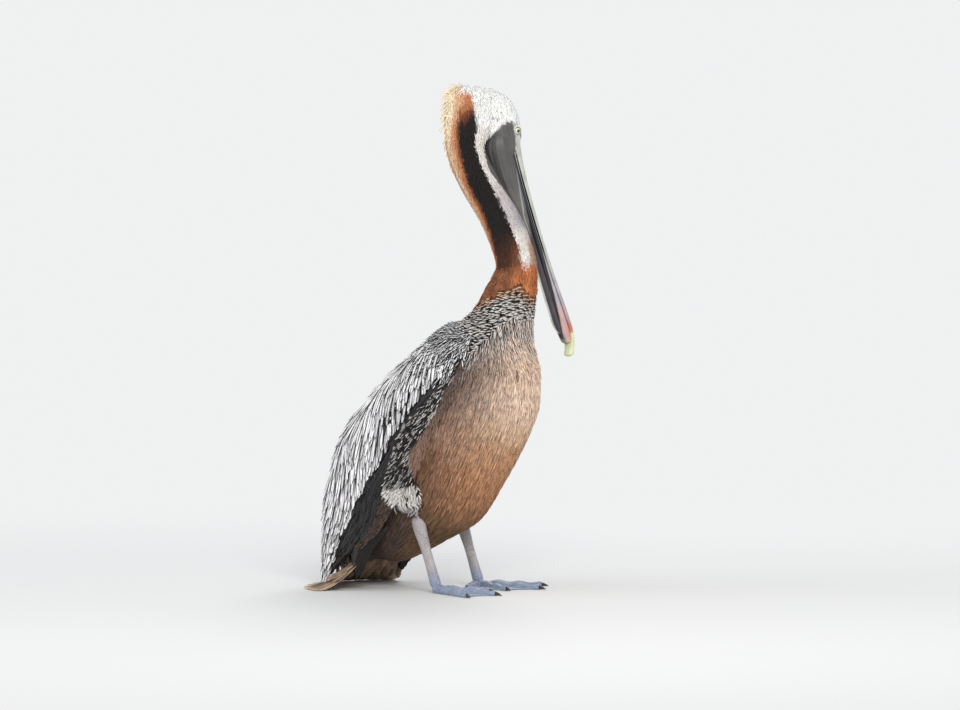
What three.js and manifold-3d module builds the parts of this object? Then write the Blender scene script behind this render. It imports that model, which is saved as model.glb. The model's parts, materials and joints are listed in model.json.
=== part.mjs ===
// Brown pelican, life size, standing upright with folded wings. Its head is turned to its left and
// the long bill points down along the front of the neck. Both feet and the tips of the tail are
// on the floor.
//
// Millimetres. +X is the way the body faces, +Y is the bird's left and +Z is up. The floor is z = 0.
// The sizes below are from a point on the floor under the belly, which CENTRE moves to the middle of
// the bird's bounding box.
import * as THREE from "three";
import { LoftGeometry } from "three/addons/geometries/LoftGeometry.js";
import { mergeVertices } from "three/addons/utils/BufferGeometryUtils.js";
import Module from "manifold-3d";

const wasm = await Module();
wasm.setup();

// ------------------------------------------------------------------ driving sizes

const DEGREE = Math.PI / 180;
const CENTRE = [47, -4.5, 0]; // added to every place below
const GAP = 0.35; // air between pieces that touch
const JOIN = 0.01; // the same air, as a share of one station of the body
const WELD = 1e-3; // vertices closer than this are one

const HEAD_TURN = 58 * DEGREE; // the head's heading, to the left of the body's
const BILL_DIP = 70 * DEGREE; // the bill's direction, below the level
const HEAD_AT = new THREE.Vector3(65.2, 23.1, 643.6); // on the bill's axis, level with the eyes
const BILL_LENGTH = 330;
const EYE_RADIUS = 8;
const EYE_OUT = 15.5; // from the head's middle plane to the middle of an eyeball
const EYE_UP = 9; // from the bill's axis towards the crown
const EYE_AHEAD = 2; // from the head's own place towards the bill's tip

// The body from the tail coverts up to the nape. Each station has the centre x, y, z and the reach of
// its section towards the back, towards the belly and to each side.
const BODY = [
  [-130, 0, 46, 12, 8, 24],
  [-114, 0, 55, 42, 20, 36],
  [-93, 0, 68, 76, 36, 46],
  [-67, 0, 99, 108, 57, 62],
  [-40, 0, 141, 122, 86, 76],
  [-8, 0, 194, 118, 90, 86],
  [17.4, 0, 246, 104, 95, 88],
  [38, 0, 295, 82, 95, 85],
  [58.7, 0, 337, 64, 75, 71],
  [76, 0, 372, 50, 42, 53],
  [86, 0, 407, 40, 36, 42],
  [95, 0, 435, 34, 33, 35],
  [96.5, 0, 460, 30, 30, 30],
  [86, -2, 494, 29, 29, 29],
  [68.5, -7, 533, 28.5, 28.5, 28.5],
  [46, -16, 575, 29, 29, 29],
  [31.5, -24, 617, 30, 30, 28],
  [30.6, -28, 659, 31, 54, 27],
  [31, -29, 686, 31, 58, 25.5],
];
// The body is parted here, with a number of sections and of points round each for every length.
const TRUNK = { from: 0, to: 10, sections: 14, points: 20 };
const NECK_LOWER = { from: 10, to: 14, sections: 9, points: 18 };
const NECK_UPPER = { from: 14, to: BODY.length - 1, sections: 8, points: 18 };
const TWIST_FROM = 11; // the neck turns with the head from this station
const TWIST_TO = 16; // up to this one

// The head from the nape to the bill's base: place along the bill's axis, the section's centre above
// that axis, and its half height and half width.
const HEAD = [
  [-58, -6, 12, 12],
  [-50, -5, 20, 18],
  [-38, -3.5, 27, 24],
  [-20, -2.5, 29.5, 26.5],
  [-3, -2.5, 28.5, 26],
  [15, -4, 26.5, 24],
  [32, -6.5, 22, 20],
];
// The bill: place along its axis, height of the upper half, depth of the lower half, half width.
const BILL = [
  [14, 18, 10, 18],
  [60, 13, 9.5, 13.5],
  [120, 10.5, 9, 11.5],
  [200, 9, 9.5, 11],
  [270, 10, 12, 12],
  [310, 9, 11, 11],
  [BILL_LENGTH, 7.5, 4, 8.5],
];
const BILL_GAPE = 1.2; // from the bill's axis up to the edge of its upper half
const BILL_SAG = 3; // how far the middle of the bill bows towards the throat
const HOOK_FROM = 292; // the hooked nail begins here
const HOOK_DROP = 8.5; // and its tip is this far below the axis
const NAIL_DEPTH = 5.5; // how much deeper the upper half grows towards that tip
// The pouch: place along the bill's axis, its reach below that axis and its half width.
const POUCH = [
  [-8, 20, 14],
  [12, 37, 23],
  [50, 36, 19],
  [85, 30, 15],
  [115, 21, 11],
  [150, 13.5, 8],
  [220, 15, 8],
  [280, 17, 8.5],
];

// One folded wing, from the shoulder to its tips. The ridge lies along the middle of the back, and
// the eave is its lower edge, on the flank: x, reach to the side, z.
const WING_RIDGE = [
  [12, 0.5, 382],
  [-13, 0.5, 372],
  [-56, 0.5, 338],
  [-102, 0.5, 300],
  [-137, 0.5, 265],
  [-173, 0.5, 223],
  [-190, 0.5, 178],
  [-203.5, 1, 123],
  [-206, 3, 80],
  [-204, 8, 42],
];
const WING_EAVE = [
  [63, 66, 362],
  [49.4, 87, 320],
  [27.7, 98, 267],
  [1.5, 101, 215],
  [-27, 97, 166],
  [-61.6, 90, 120],
  [-90, 81, 86],
  [-116, 73, 64],
  [-136, 66, 49],
  [-150, 60, 38],
];
const WING_BACK_DEPTH = 46; // thickness along the ridge, which reaches into the hollow of the back
const WING_TIP_DEPTH = 5; // thickness at the tips
const WING_EAVE_DEPTH = 9; // thickness at the lower edge
const WING_SHOULDER = 0.35; // how far the front end is drawn in, as a share of its thickness
// The wing's two bands, as shares of the way from the ridge to the eave, and the points across each.
const COVERTS = { from: 0, to: 0.7, points: 7 };
const FLIGHT = { from: 0.7, to: 1, points: 4 };
const BAND_JOIN = 0.0025; // half the air between them, as a share of that way

// The tips of the longest wing feathers, which show between the wing and the tail: centre x, reach to
// the side, z, then half width and half thickness.
const PRIMARIES = [
  [-88, 67, 88, 15, 4],
  [-108, 68, 62, 15, 3.5],
  [-119, 67, 35, 13, 2.8],
  [-123, 64, 12, 8, 2],
];

const TAIL_ROOT = new THREE.Vector3(-92, 0, 92);
const TAIL_FEATHERS = 12;
const TAIL_SPREAD = 52 * DEGREE; // from the middle to the outer feather
const TAIL_RUN = 132; // the middle feathers' reach over the floor
const TAIL_RUN_OUTER = 112;
const TAIL_ROOT_HALF = 26;
const TAIL_FLAT = 0.9; // beyond this share of their reach the feathers lie flat
const TAIL_BEND = 1.5; // how strongly they curve before that: 1 is straight
const TAIL_THICK = 3;
const TAIL_NOTCH = 0.08; // depth of the notch between two feather tips, as a share of their length

const STEP_AHEAD = 4; // the left foot is this far ahead of the middle of the stance, the right behind it
const STANCE = 55; // from the middle plane to each foot
const HEEL = { x: -24, z: 96 };
const ANKLE = { x: 3, z: 12 };
const THIGH_TOP = { x: -42, y: 61, z: 146 };
// Reach fore and aft and to each side, at the top, middle and end of the feathered thigh.
const THIGH_REACH = [
  [36, 30],
  [27, 22],
  [11, 9.5],
];
// The same above the heel, at the heel, at the middle of the bare leg and at the ankle.
const SHANK_REACH = [
  [9, 8],
  [10.5, 8.5],
  [7.5, 5.2],
  [8.5, 6],
];
const THIGH_END = 14; // the feathers end this far above the heel
const SHANK_START = 12; // and the bare leg begins this far above it

// Toes of the right foot: the way each points, to the inside of straight ahead, and its length.
const TOES = [
  { name: "outer", angle: -33 * DEGREE, length: 90 },
  { name: "middle", angle: -2 * DEGREE, length: 96 },
  { name: "inner", angle: 29 * DEGREE, length: 74 },
  { name: "hind", angle: 82 * DEGREE, length: 44 },
];
const TOE_RADIUS = 6.5;
const TOE_TIP_RADIUS = 4;
const TOE_KNUCKLE = 0.12; // how much its joints swell
const WEB_THICK = 2.6;
const WEB_REACH = 0.96; // of the toes' length
const WEB_HOLLOW = 0.09; // depth of the web's hollow front edge, as a share of its reach
const CLAW_LENGTH = 10;
const CLAW_RADIUS = 3.2;
const CLAW_TAPER = 0.8; // how much of that radius is gone at the tip
const CLAW_HEIGHT = 3.4; // of its root over the floor
const CLAW_DROP = 2.4; // from root to tip

// ------------------------------------------------------------------ helpers

const vec = (x, y, z) => new THREE.Vector3(x, y, z);
const LEFT = vec(0, 1, 0);

/** A whole number of evenly spaced values from `from` to `to`, both included. */
function spread(from, to, count) {
  return Array.from({ length: count }, (_, i) => from + ((to - from) * i) / (count - 1));
}

/** 0 below 0, 1 above 1 and a smooth step between. */
function ease(x) {
  const f = THREE.MathUtils.clamp(x, 0, 1);
  return f * f * (3 - 2 * f);
}

/** The Catmull-Rom curve through a table's rows, at station u. The first row is station 0. */
function along(rows, u) {
  const i = THREE.MathUtils.clamp(Math.floor(u), 0, rows.length - 2);
  const f = u - i;
  const [here, next] = [rows[i], rows[i + 1]];
  const before = rows[i - 1] ?? here.map((v, k) => 2 * v - next[k]);
  const after = rows[i + 2] ?? next.map((v, k) => 2 * v - here[k]);
  return here.map((v, k) => {
    const [slope0, slope1] = [(next[k] - before[k]) / 2, (after[k] - v) / 2];
    const rise = f * f * (3 - 2 * f);
    return v + (next[k] - v) * rise + f * (1 - f) * (slope0 * (1 - f) - slope1 * f);
  });
}

/** The points of one egg-shaped section, in pairs that mirror each other across its up axis. */
function ring(section, count) {
  const { centre, up, out, top, bottom, half } = section;
  return Array.from({ length: count }, (_, k) => {
    const angle = (2 * Math.PI * (k + 0.5)) / count;
    const lift = Math.cos(angle);
    return centre
      .clone()
      .addScaledVector(up, lift * (lift > 0 ? top : bottom))
      .addScaledVector(out, Math.sin(angle) * half);
  });
}

/** Ever smaller copies of a section, which close a tube with a dome of the given reach. */
function dome(section, reach, steps) {
  return Array.from({ length: steps }, (_, i) => {
    const angle = ((i + 1) / (steps + 0.5)) * (Math.PI / 2);
    return {
      ...section,
      centre: section.centre.clone().addScaledVector(section.axis, reach * Math.sin(angle)),
      top: section.top * Math.cos(angle),
      bottom: section.bottom * Math.cos(angle),
      half: section.half * Math.cos(angle),
    };
  });
}

/** The same section, larger by `by` all round. */
function swell(section, by) {
  return { ...section, top: section.top + by, bottom: section.bottom + by, half: section.half + by };
}

/** A closed loft over rings of points, with its faces outwards whichever way the rings run. */
function loft(rings) {
  const normal = vec(0, 0, 0);
  const first = rings[0];
  first.forEach((p, k) => normal.add(p.clone().cross(first[(k + 1) % first.length])));
  const forward = rings[1].reduce((sum, p, k) => sum.add(p).sub(first[k]), vec(0, 0, 0));
  const sections = normal.dot(forward) > 0 ? rings : rings.map((r) => [...r].reverse());
  return new LoftGeometry(sections, { capStart: true, capEnd: true });
}

/** A closed geometry as a solid for cutting and joining. */
function solid(closed) {
  const bare = new THREE.BufferGeometry().setIndex(closed.index);
  bare.setAttribute("position", closed.getAttribute("position"));
  const merged = mergeVertices(bare, WELD);
  return new wasm.Manifold(
    new wasm.Mesh({
      numProp: 3,
      vertProperties: merged.attributes.position.array,
      triVerts: new Uint32Array(merged.index.array),
    }),
  );
}

/** The largest single body of a solid, as a geometry. */
function geometry(made) {
  const bodies = made.decompose();
  const whole = bodies.reduce((best, b) => (b.volume() > best.volume() ? b : best));
  const mesh = whole.getMesh();
  const built = new THREE.BufferGeometry();
  built.setAttribute("position", new THREE.BufferAttribute(mesh.vertProperties, 3));
  built.setIndex(new THREE.BufferAttribute(mesh.triVerts, 1));
  built.computeVertexNormals();
  return built;
}

/** A solid less each of the given ones. */
function less(made, ...tools) {
  return tools.reduce((left, tool) => left.subtract(tool), made);
}

const bird = new THREE.Group();
bird.name = "brown_pelican";
bird.position.set(...CENTRE);

/** Puts a named piece of the given colour into the bird. */
function add(name, made, colour, roughness = 0.85) {
  const material = new THREE.MeshStandardMaterial({ color: colour, roughness, metalness: 0 });
  const mesh = new THREE.Mesh(geometry(made), material);
  mesh.name = name;
  bird.add(mesh);
}

// ------------------------------------------------------------------ trunk and neck

/** The body's section at station u: where it is, which way it faces and how far it reaches. */
function bodySection(u) {
  const [x, y, z, top, bottom, half] = along(BODY, u);
  const reach = 0.05;
  const last = BODY.length - 1;
  const [from, to] = [Math.max(u - reach, 0), Math.min(u + reach, last)];
  const [a, b] = [along(BODY, from), along(BODY, to)];
  const axis = vec(b[0] - a[0], b[1] - a[1], b[2] - a[2]).normalize();
  const out = LEFT.clone().addScaledVector(axis, -LEFT.dot(axis)).normalize();
  const twist = HEAD_TURN * ease((u - TWIST_FROM) / (TWIST_TO - TWIST_FROM));
  const up = axis.clone().cross(out).applyAxisAngle(axis, twist);
  out.applyAxisAngle(axis, twist);
  return { centre: vec(x, y, z), axis, up, out, top, bottom, half };
}

const TAIL_DOME = 16; // reach of the rounded end under the tail
const NAPE_DOME = 21; // reach of the rounded top of the nape

/** One length of the body, `by` larger all round and then also a little longer than its place. */
function bodyLength(length, by = 0) {
  const last = BODY.length - 1;
  const spare = by > 0 ? JOIN : -JOIN / 2;
  const from = length.from === 0 ? 0 : length.from - spare;
  const to = length.to === last ? last : length.to + spare;
  const sections = spread(from, to, length.sections).map((u) => swell(bodySection(u), by));
  const opening = from === 0 ? dome(sections[0], -TAIL_DOME - by, 3).reverse() : [];
  const closing = to === last ? dome(sections.at(-1), NAPE_DOME + by, 4) : [];
  return solid(loft([...opening, ...sections, ...closing].map((s) => ring(s, length.points))));
}

// ------------------------------------------------------------------ head, bill, pouch and eyes

// Reach of the rounded ends.
const HEAD_DOME = 6;
const UPPER_TIP_DOME = 5;
const LOWER_TIP_DOME = 8;
const POUCH_BACK_DOME = 8;
const POUCH_FRONT_DOME = 20;

const HEADING = vec(Math.cos(HEAD_TURN), Math.sin(HEAD_TURN), 0);
const UPWARD = vec(0, 0, 1);
const BILL_WAY = HEADING.clone()
  .multiplyScalar(Math.cos(BILL_DIP))
  .addScaledVector(UPWARD, -Math.sin(BILL_DIP));
const CROWN_WAY = HEADING.clone()
  .multiplyScalar(Math.sin(BILL_DIP))
  .addScaledVector(UPWARD, Math.cos(BILL_DIP));
const HEAD_LEFT = CROWN_WAY.clone().cross(BILL_WAY);

/** A point given along the bill's axis, towards the crown and to the head's left. */
function headPoint(ahead, up, left = 0) {
  return HEAD_AT.clone()
    .addScaledVector(BILL_WAY, ahead)
    .addScaledVector(CROWN_WAY, up)
    .addScaledVector(HEAD_LEFT, left);
}

/** A section square to the bill's axis. */
function headSection(ahead, up, top, bottom, half) {
  return { centre: headPoint(ahead, up), axis: BILL_WAY, up: CROWN_WAY, out: HEAD_LEFT, top, bottom, half };
}

/** The head with its feathers, `by` larger all round. */
function headSolid(by = 0) {
  const sections = spread(0, HEAD.length - 1, 8).map((u) => {
    const [ahead, up, tall, wide] = along(HEAD, u);
    return headSection(ahead, up, tall + by, tall + by, wide + by);
  });
  const nape = dome(sections[0], -HEAD_DOME - by, 2).reverse();
  const face = dome(sections.at(-1), HEAD_DOME + by, 2);
  return solid(loft([...nape, ...sections, ...face].map((s) => ring(s, 16))));
}

/** How far the bill's axis bows towards the throat. */
function sag(ahead) {
  const share = THREE.MathUtils.clamp(ahead / BILL_LENGTH, 0, 1);
  return -BILL_SAG * Math.sin(Math.PI * share);
}

/** How far on the nail a place lies, from 0 where it begins to 1 at its tip, growing ever faster. */
function nail(ahead) {
  return THREE.MathUtils.clamp((ahead - HOOK_FROM) / (BILL_LENGTH - HOOK_FROM), 0, 1) ** 2;
}

/** The upper half of the bill, with its ridge and hooked tip. */
function billUpper(by = 0) {
  const sections = spread(0, BILL.length - 1, 13).map((u) => {
    const [ahead, tall, , wide] = along(BILL, u);
    const rise = sag(ahead) - HOOK_DROP * nail(ahead) + BILL_GAPE;
    return headSection(ahead, rise, tall - BILL_GAPE + by, 1 + NAIL_DEPTH * nail(ahead) + by, wide + by);
  });
  const start = { ...sections[0], centre: sections[0].centre.clone().addScaledVector(BILL_WAY, -by) };
  const tip = dome(sections.at(-1), UPPER_TIP_DOME + by, 2);
  return solid(loft([start, ...sections.slice(1), ...tip].map((s) => ring(s, 10))));
}

/** The lower half of the bill, which carries the pouch and ends short of the nail. */
function billLower(by = 0) {
  const sections = spread(0, BILL.length - 2, 11).map((u) => {
    const [ahead, , deep, wide] = along(BILL, u);
    return headSection(ahead, sag(ahead) - 1, 0.6 + by, deep - 1 + by, wide - 0.6 + by);
  });
  const start = { ...sections[0], centre: sections[0].centre.clone().addScaledVector(BILL_WAY, -by) };
  const tip = dome(sections.at(-1), LOWER_TIP_DOME + by, 2);
  return solid(loft([start, ...sections.slice(1), ...tip].map((s) => ring(s, 10))));
}

/** The folded throat pouch under the lower half of the bill. */
function pouchSolid() {
  const sections = spread(0, POUCH.length - 1, 10).map((u) => {
    const [ahead, reach, wide] = along(POUCH, u);
    return headSection(ahead, sag(ahead) - reach / 2, reach / 2, reach / 2, wide);
  });
  const back = dome(sections[0], -POUCH_BACK_DOME, 2).reverse();
  const front = dome(sections.at(-1), POUCH_FRONT_DOME, 2);
  return solid(loft([...back, ...sections, ...front].map((s) => ring(s, 10))));
}

/** An eyeball on one side of the head. */
function eyeSolid(side, by = 0) {
  const ball = new THREE.SphereGeometry(EYE_RADIUS + by, 10, 7);
  const at = headPoint(EYE_AHEAD, EYE_UP, side * EYE_OUT);
  return solid(ball.translate(at.x, at.y, at.z));
}

// ------------------------------------------------------------------ wings

const WING_SHOULDER_RUN = 0.7; // the station where the front end has its full size
const WING_FEATHERS = 9; // feather tips across the end of the folded wing
const WING_STATIONS = 13;
const WING_NOTCH = 0.3; // depth of the notch between two tips, as a share of one station
const WING_OVER = 0.03; // how far a cutting copy runs past both ends, in the same measure

/**
 * A point on a folded wing: station s along it and share t from the ridge to the eave. The section
 * is a quarter of an ellipse, and depth takes it inwards.
 */
function wingPoint(side, s, t, inner, by) {
  const [rx, ry, rz] = along(WING_RIDGE, s);
  const [ex, ey, ez] = along(WING_EAVE, s);
  const last = WING_RIDGE.length - 1;
  const slim = ease((s - 3) / (last - 4));
  const backDepth = THREE.MathUtils.lerp(WING_BACK_DEPTH, WING_TIP_DEPTH, slim);
  const eaveDepth = THREE.MathUtils.lerp(WING_EAVE_DEPTH, WING_TIP_DEPTH, slim);
  const [cos, sin] = [Math.cos((t * Math.PI) / 2), Math.sin((t * Math.PI) / 2)];
  const ridge = vec(rx - ex, 0, rz - ez);
  const drawnIn = WING_SHOULDER * (1 - ease(s / WING_SHOULDER_RUN));
  const share = inner ? 1 : drawnIn;
  const swollen = inner ? -by : by;
  const ridgeShare = 1 + (swollen - share * backDepth) / ridge.length();
  const eaveShare = 1 + (swollen - share * eaveDepth) / (ey - ry);
  return vec(
    ex + ridge.x * cos * ridgeShare,
    side * (ry + (ey - ry) * sin * eaveShare),
    ez + ridge.z * cos * ridgeShare,
  );
}

/** One band of the folded wing, `by` thicker all round and then also a little wider than its place. */
function wingBand(side, band, by = 0) {
  const last = WING_RIDGE.length - 1;
  const spare = by > 0 ? BAND_JOIN : -BAND_JOIN;
  const shares = spread(band.from - spare, Math.min(band.to + spare, 1), band.points);
  const [over, notch] = by > 0 ? [WING_OVER, 0] : [0, WING_NOTCH];
  const rings = spread(-over, last + over, WING_STATIONS).map((s) => {
    const scallop = (t) => {
      const within = (t * WING_FEATHERS) % 1;
      return s - notch * (2 * within - 1) ** 2 * ease((s - last + 2) / 2);
    };
    const outer = shares.map((t) => wingPoint(side, scallop(t), t, false, by));
    const inner = shares.map((t) => wingPoint(side, scallop(t), t, true, by));
    return [...outer, ...inner.reverse()];
  });
  return solid(loft(rings));
}

/** The blade of primaries whose tips reach the floor behind the flank. */
function primariesSolid(side) {
  const axis = vec(
    PRIMARIES.at(-1)[0] - PRIMARIES[0][0],
    side * (PRIMARIES.at(-1)[1] - PRIMARIES[0][1]),
    PRIMARIES.at(-1)[2] - PRIMARIES[0][2],
  ).normalize();
  const out = LEFT.clone().multiplyScalar(side).addScaledVector(axis, -side * axis.y).normalize();
  const up = axis.clone().cross(out);
  const sections = spread(0, PRIMARIES.length - 1, 7).map((u) => {
    const [x, y, z, wide, thick] = along(PRIMARIES, u);
    return { centre: vec(x, side * y, z), axis, up, out, top: wide, bottom: wide, half: thick };
  });
  const tip = dome(sections.at(-1), 8, 2);
  return solid(loft([...sections, ...tip].map((s) => ring(s, 8))));
}

// ------------------------------------------------------------------ tail

/** The fan of tail feathers, one closed blade whose tips are notched and lie flat on the floor. */
function tailSolid(by = 0) {
  const perFeather = 3;
  const rings = spread(-1, 1, TAIL_FEATHERS * perFeather + 1).map((share, k) => {
    const angle = share * TAIL_SPREAD;
    const within = k % perFeather === 0 ? 1 : 0;
    const reach = THREE.MathUtils.lerp(TAIL_RUN, TAIL_RUN_OUTER, share * share);
    const run = reach * (1 - TAIL_NOTCH * within) + by;
    const root = TAIL_ROOT.clone().add(vec(0, share * TAIL_ROOT_HALF, 0));
    const lower = [0, 0.45, 0.9, 1].map((f) => {
      const drop = Math.max(0, 1 - f / TAIL_FLAT) ** TAIL_BEND;
      const at = vec(-Math.cos(angle), Math.sin(angle), 0).multiplyScalar(f * run).add(root);
      return at.setZ(TAIL_ROOT.z * drop - by);
    });
    const upper = lower.map((p, i) => {
      const thick = THREE.MathUtils.lerp(TAIL_THICK, TAIL_THICK / 2, i / (lower.length - 1));
      return p.clone().add(vec(0, 0, thick + 2 * by));
    });
    return [...lower, ...upper.reverse()];
  });
  return solid(loft(rings));
}

// ------------------------------------------------------------------ legs and feet

/** A straight limb through stations of x, y, z, reach fore and aft, and reach to each side. */
function limb(stations, count, endReach, by = 0) {
  const [first, last] = [stations[0], stations.at(-1)];
  const axis = vec(last[0] - first[0], last[1] - first[1], last[2] - first[2]).normalize();
  const out = LEFT.clone().addScaledVector(axis, -axis.y).normalize();
  const up = axis.clone().cross(out);
  const steps = 2 * (stations.length - 1) + 1;
  const sections = spread(0, stations.length - 1, steps).map((u) => {
    const [x, y, z, deep, wide] = along(stations, u);
    return { centre: vec(x, y, z), axis, up, out, top: deep + by, bottom: deep + by, half: wide + by };
  });
  const start = dome(sections[0], -endReach - by, 2).reverse();
  const end = dome(sections.at(-1), endReach + by, 2);
  return solid(loft([...start, ...sections, ...end].map((s) => ring(s, count))));
}

/** The feathered thigh down to the bare skin above the heel. */
function thighSolid(side, ahead) {
  const [top, heel] = [THIGH_TOP, HEEL];
  const bulge = { out: 2, up: 4 }; // of the middle of the thigh, from halfway down it
  const middle = [(top.x + heel.x) / 2 + ahead, side * (top.y + bulge.out), (top.z + heel.z) / 2 + bulge.up];
  return limb(
    [
      [top.x + ahead / 2, side * top.y, top.z, ...THIGH_REACH[0]],
      [...middle, ...THIGH_REACH[1]],
      [heel.x + ahead, side * STANCE, heel.z + THIGH_END, ...THIGH_REACH[2]],
    ],
    14,
    5,
  );
}

/** The bare leg from the heel to the foot. */
function shankSolid(side, ahead, by = 0) {
  const places = [
    [HEEL.x, HEEL.z + SHANK_START],
    [HEEL.x, HEEL.z],
    [(HEEL.x + ANKLE.x) / 2, (HEEL.z + ANKLE.z) / 2],
    [ANKLE.x, ANKLE.z],
  ];
  const stations = places.map(([x, z], i) => [x + ahead, side * STANCE, z, ...SHANK_REACH[i]]);
  return limb(stations, 8, 4, by);
}

/** The way a toe points, for the foot on the given side. */
function toeWay(side, toe) {
  return vec(Math.cos(toe.angle), -side * Math.sin(toe.angle), 0);
}

/** A toe, level on the floor, from the ankle to where its claw begins. */
function toeSolid(side, ahead, toe) {
  const axis = toeWay(side, toe);
  const root = vec(ANKLE.x + ahead, side * STANCE, 0);
  const out = UPWARD.clone().cross(axis);
  const sections = spread(0, 1, 5).map((f) => {
    const knuckle = 1 + TOE_KNUCKLE * Math.cos(f * 6 * Math.PI);
    const radius = THREE.MathUtils.lerp(TOE_RADIUS, TOE_TIP_RADIUS, f) * knuckle;
    const centre = root.clone().addScaledVector(axis, f * toe.length);
    centre.z = radius * 0.8;
    return { centre, axis, up: UPWARD, out, top: radius, bottom: radius, half: radius };
  });
  const heel = dome(sections[0], -4, 2).reverse();
  return solid(loft([...heel, ...sections].map((s) => ring(s, 8))));
}

/** The web between two neighbouring toes, with a hollow front edge. */
function webSolid(side, ahead, toeA, toeB) {
  const root = vec(ANKLE.x + ahead, side * STANCE, 0);
  const a = toeWay(side, toeA).multiplyScalar(toeA.length * WEB_REACH);
  const b = toeWay(side, toeB).multiplyScalar(toeB.length * WEB_REACH);
  const rings = spread(0, 1, 7).map((f) => {
    const hollow = 1 - WEB_HOLLOW * Math.sin(Math.PI * f);
    const tip = a.clone().lerp(b, f).multiplyScalar(hollow).add(root);
    const base = root.clone().lerp(tip, 0.04);
    const lift = vec(0, 0, WEB_THICK);
    return [base, tip, tip.clone().add(lift), base.clone().add(lift)];
  });
  return solid(loft(rings));
}

/** A whole webbed foot with its flat sole on the floor. */
function footSolid(side, ahead) {
  const toes = TOES.map((toe) => toeSolid(side, ahead, toe));
  const webs = TOES.slice(1).map((toe, i) => webSolid(side, ahead, TOES[i], toe));
  const whole = [...toes, ...webs].reduce((all, piece) => all.add(piece));
  const under = new THREE.BoxGeometry(600, 600, 40).translate(0, 0, -20);
  return less(whole, solid(under));
}

/** A small hooked claw ahead of a toe's tip. */
function clawSolid(side, ahead, toe) {
  const axis = toeWay(side, toe);
  const out = UPWARD.clone().cross(axis);
  const start = vec(ANKLE.x + ahead, side * STANCE, 0).addScaledVector(axis, toe.length + GAP);
  const sections = spread(0, 1, 4).map((f) => {
    const radius = CLAW_RADIUS * (1 - CLAW_TAPER * f);
    const centre = start.clone().addScaledVector(axis, f * CLAW_LENGTH);
    centre.z = CLAW_HEIGHT - CLAW_DROP * f * f;
    const bottom = Math.min(radius, centre.z);
    return { centre, axis, up: UPWARD, out, top: radius, bottom, half: radius * 0.8 };
  });
  return solid(loft(sections.map((s) => ring(s, 6))));
}

// ------------------------------------------------------------------ putting it together

const SIDES = [
  { word: "right", side: -1, ahead: -STEP_AHEAD },
  { word: "left", side: 1, ahead: STEP_AHEAD },
];

const bodyTools = [TRUNK, NECK_LOWER, NECK_UPPER].map((length) => bodyLength(length, GAP));
const headTool = headSolid(GAP);
const bills = [billUpper(GAP), billLower(GAP)];
const eyeTools = SIDES.map(({ side }) => eyeSolid(side, GAP));

const shankTools = SIDES.map(({ side, ahead }) => shankSolid(side, ahead, GAP));

add("trunk", less(bodyLength(TRUNK), ...shankTools), 0x8a6a55);
add("neck_lower", bodyLength(NECK_LOWER), 0x6b4632);
add("neck_upper", less(bodyLength(NECK_UPPER), headTool, ...bills), 0x2e221a);
add("head", less(headSolid(), ...eyeTools, ...bills), 0xf4f2ea);
add("bill_upper", billUpper(), 0x9da292, 0.5);
add("bill_lower", less(billLower(), bills[0]), 0x6a6d69, 0.5);
add("pouch", less(pouchSolid(), headTool, ...bodyTools, ...bills), 0x565552, 0.6);
SIDES.forEach(({ word, side }) => add(`eye_${word}`, eyeSolid(side), 0x3a2414, 0.15));

const tailTool = tailSolid(GAP);
for (const { word, side, ahead } of SIDES) {
  const wingTools = [COVERTS, FLIGHT].map((band) => wingBand(side, band, GAP));
  add(`wing_${word}_coverts`, less(wingBand(side, COVERTS), ...bodyTools), 0xb4b2b4);
  add(`wing_${word}_flight`, less(wingBand(side, FLIGHT), wingTools[0], ...bodyTools), 0x2d2d2c);
  add(`wing_${word}_primaries`, less(primariesSolid(side), ...bodyTools, ...wingTools, tailTool), 0x322b27);

  const shank = shankSolid(side, ahead);
  const foot = footSolid(side, ahead);
  add(`thigh_${word}`, less(thighSolid(side, ahead), ...bodyTools, ...wingTools, ...shankTools), 0xa59e9c);
  add(`shank_${word}`, less(shank, foot), 0xa29aa0, 0.6);
  add(`foot_${word}`, less(foot, shankSolid(side, ahead, GAP)), 0x8794b0, 0.6);
  for (const toe of TOES) add(`claw_${word}_${toe.name}`, clawSolid(side, ahead, toe), 0x2a2a2e, 0.4);
}
add("tail", less(tailSolid(), ...bodyTools), 0xa08b7b);

export default bird;
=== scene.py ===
# %% [markdown]
# # A brown pelican, feather by feather
# A brown pelican stands upright with folded wings and looks over its left shoulder. Its solids come
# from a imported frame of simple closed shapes. This lesson dresses them: one skin over the body,
# thousands of feathers in rows, a horn bill with its pouch, wet eyes, and scaly webbed feet.
# Lengths in the tables are in millimetres, as a maker would measure them, and each finished mesh is
# turned to metres at the end.

# %% Load the frame and keep its box
import json

import bmesh
import bpy
import numpy as np
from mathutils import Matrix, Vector
from mathutils.bvhtree import BVHTree
from mathutils.kdtree import KDTree

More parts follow.
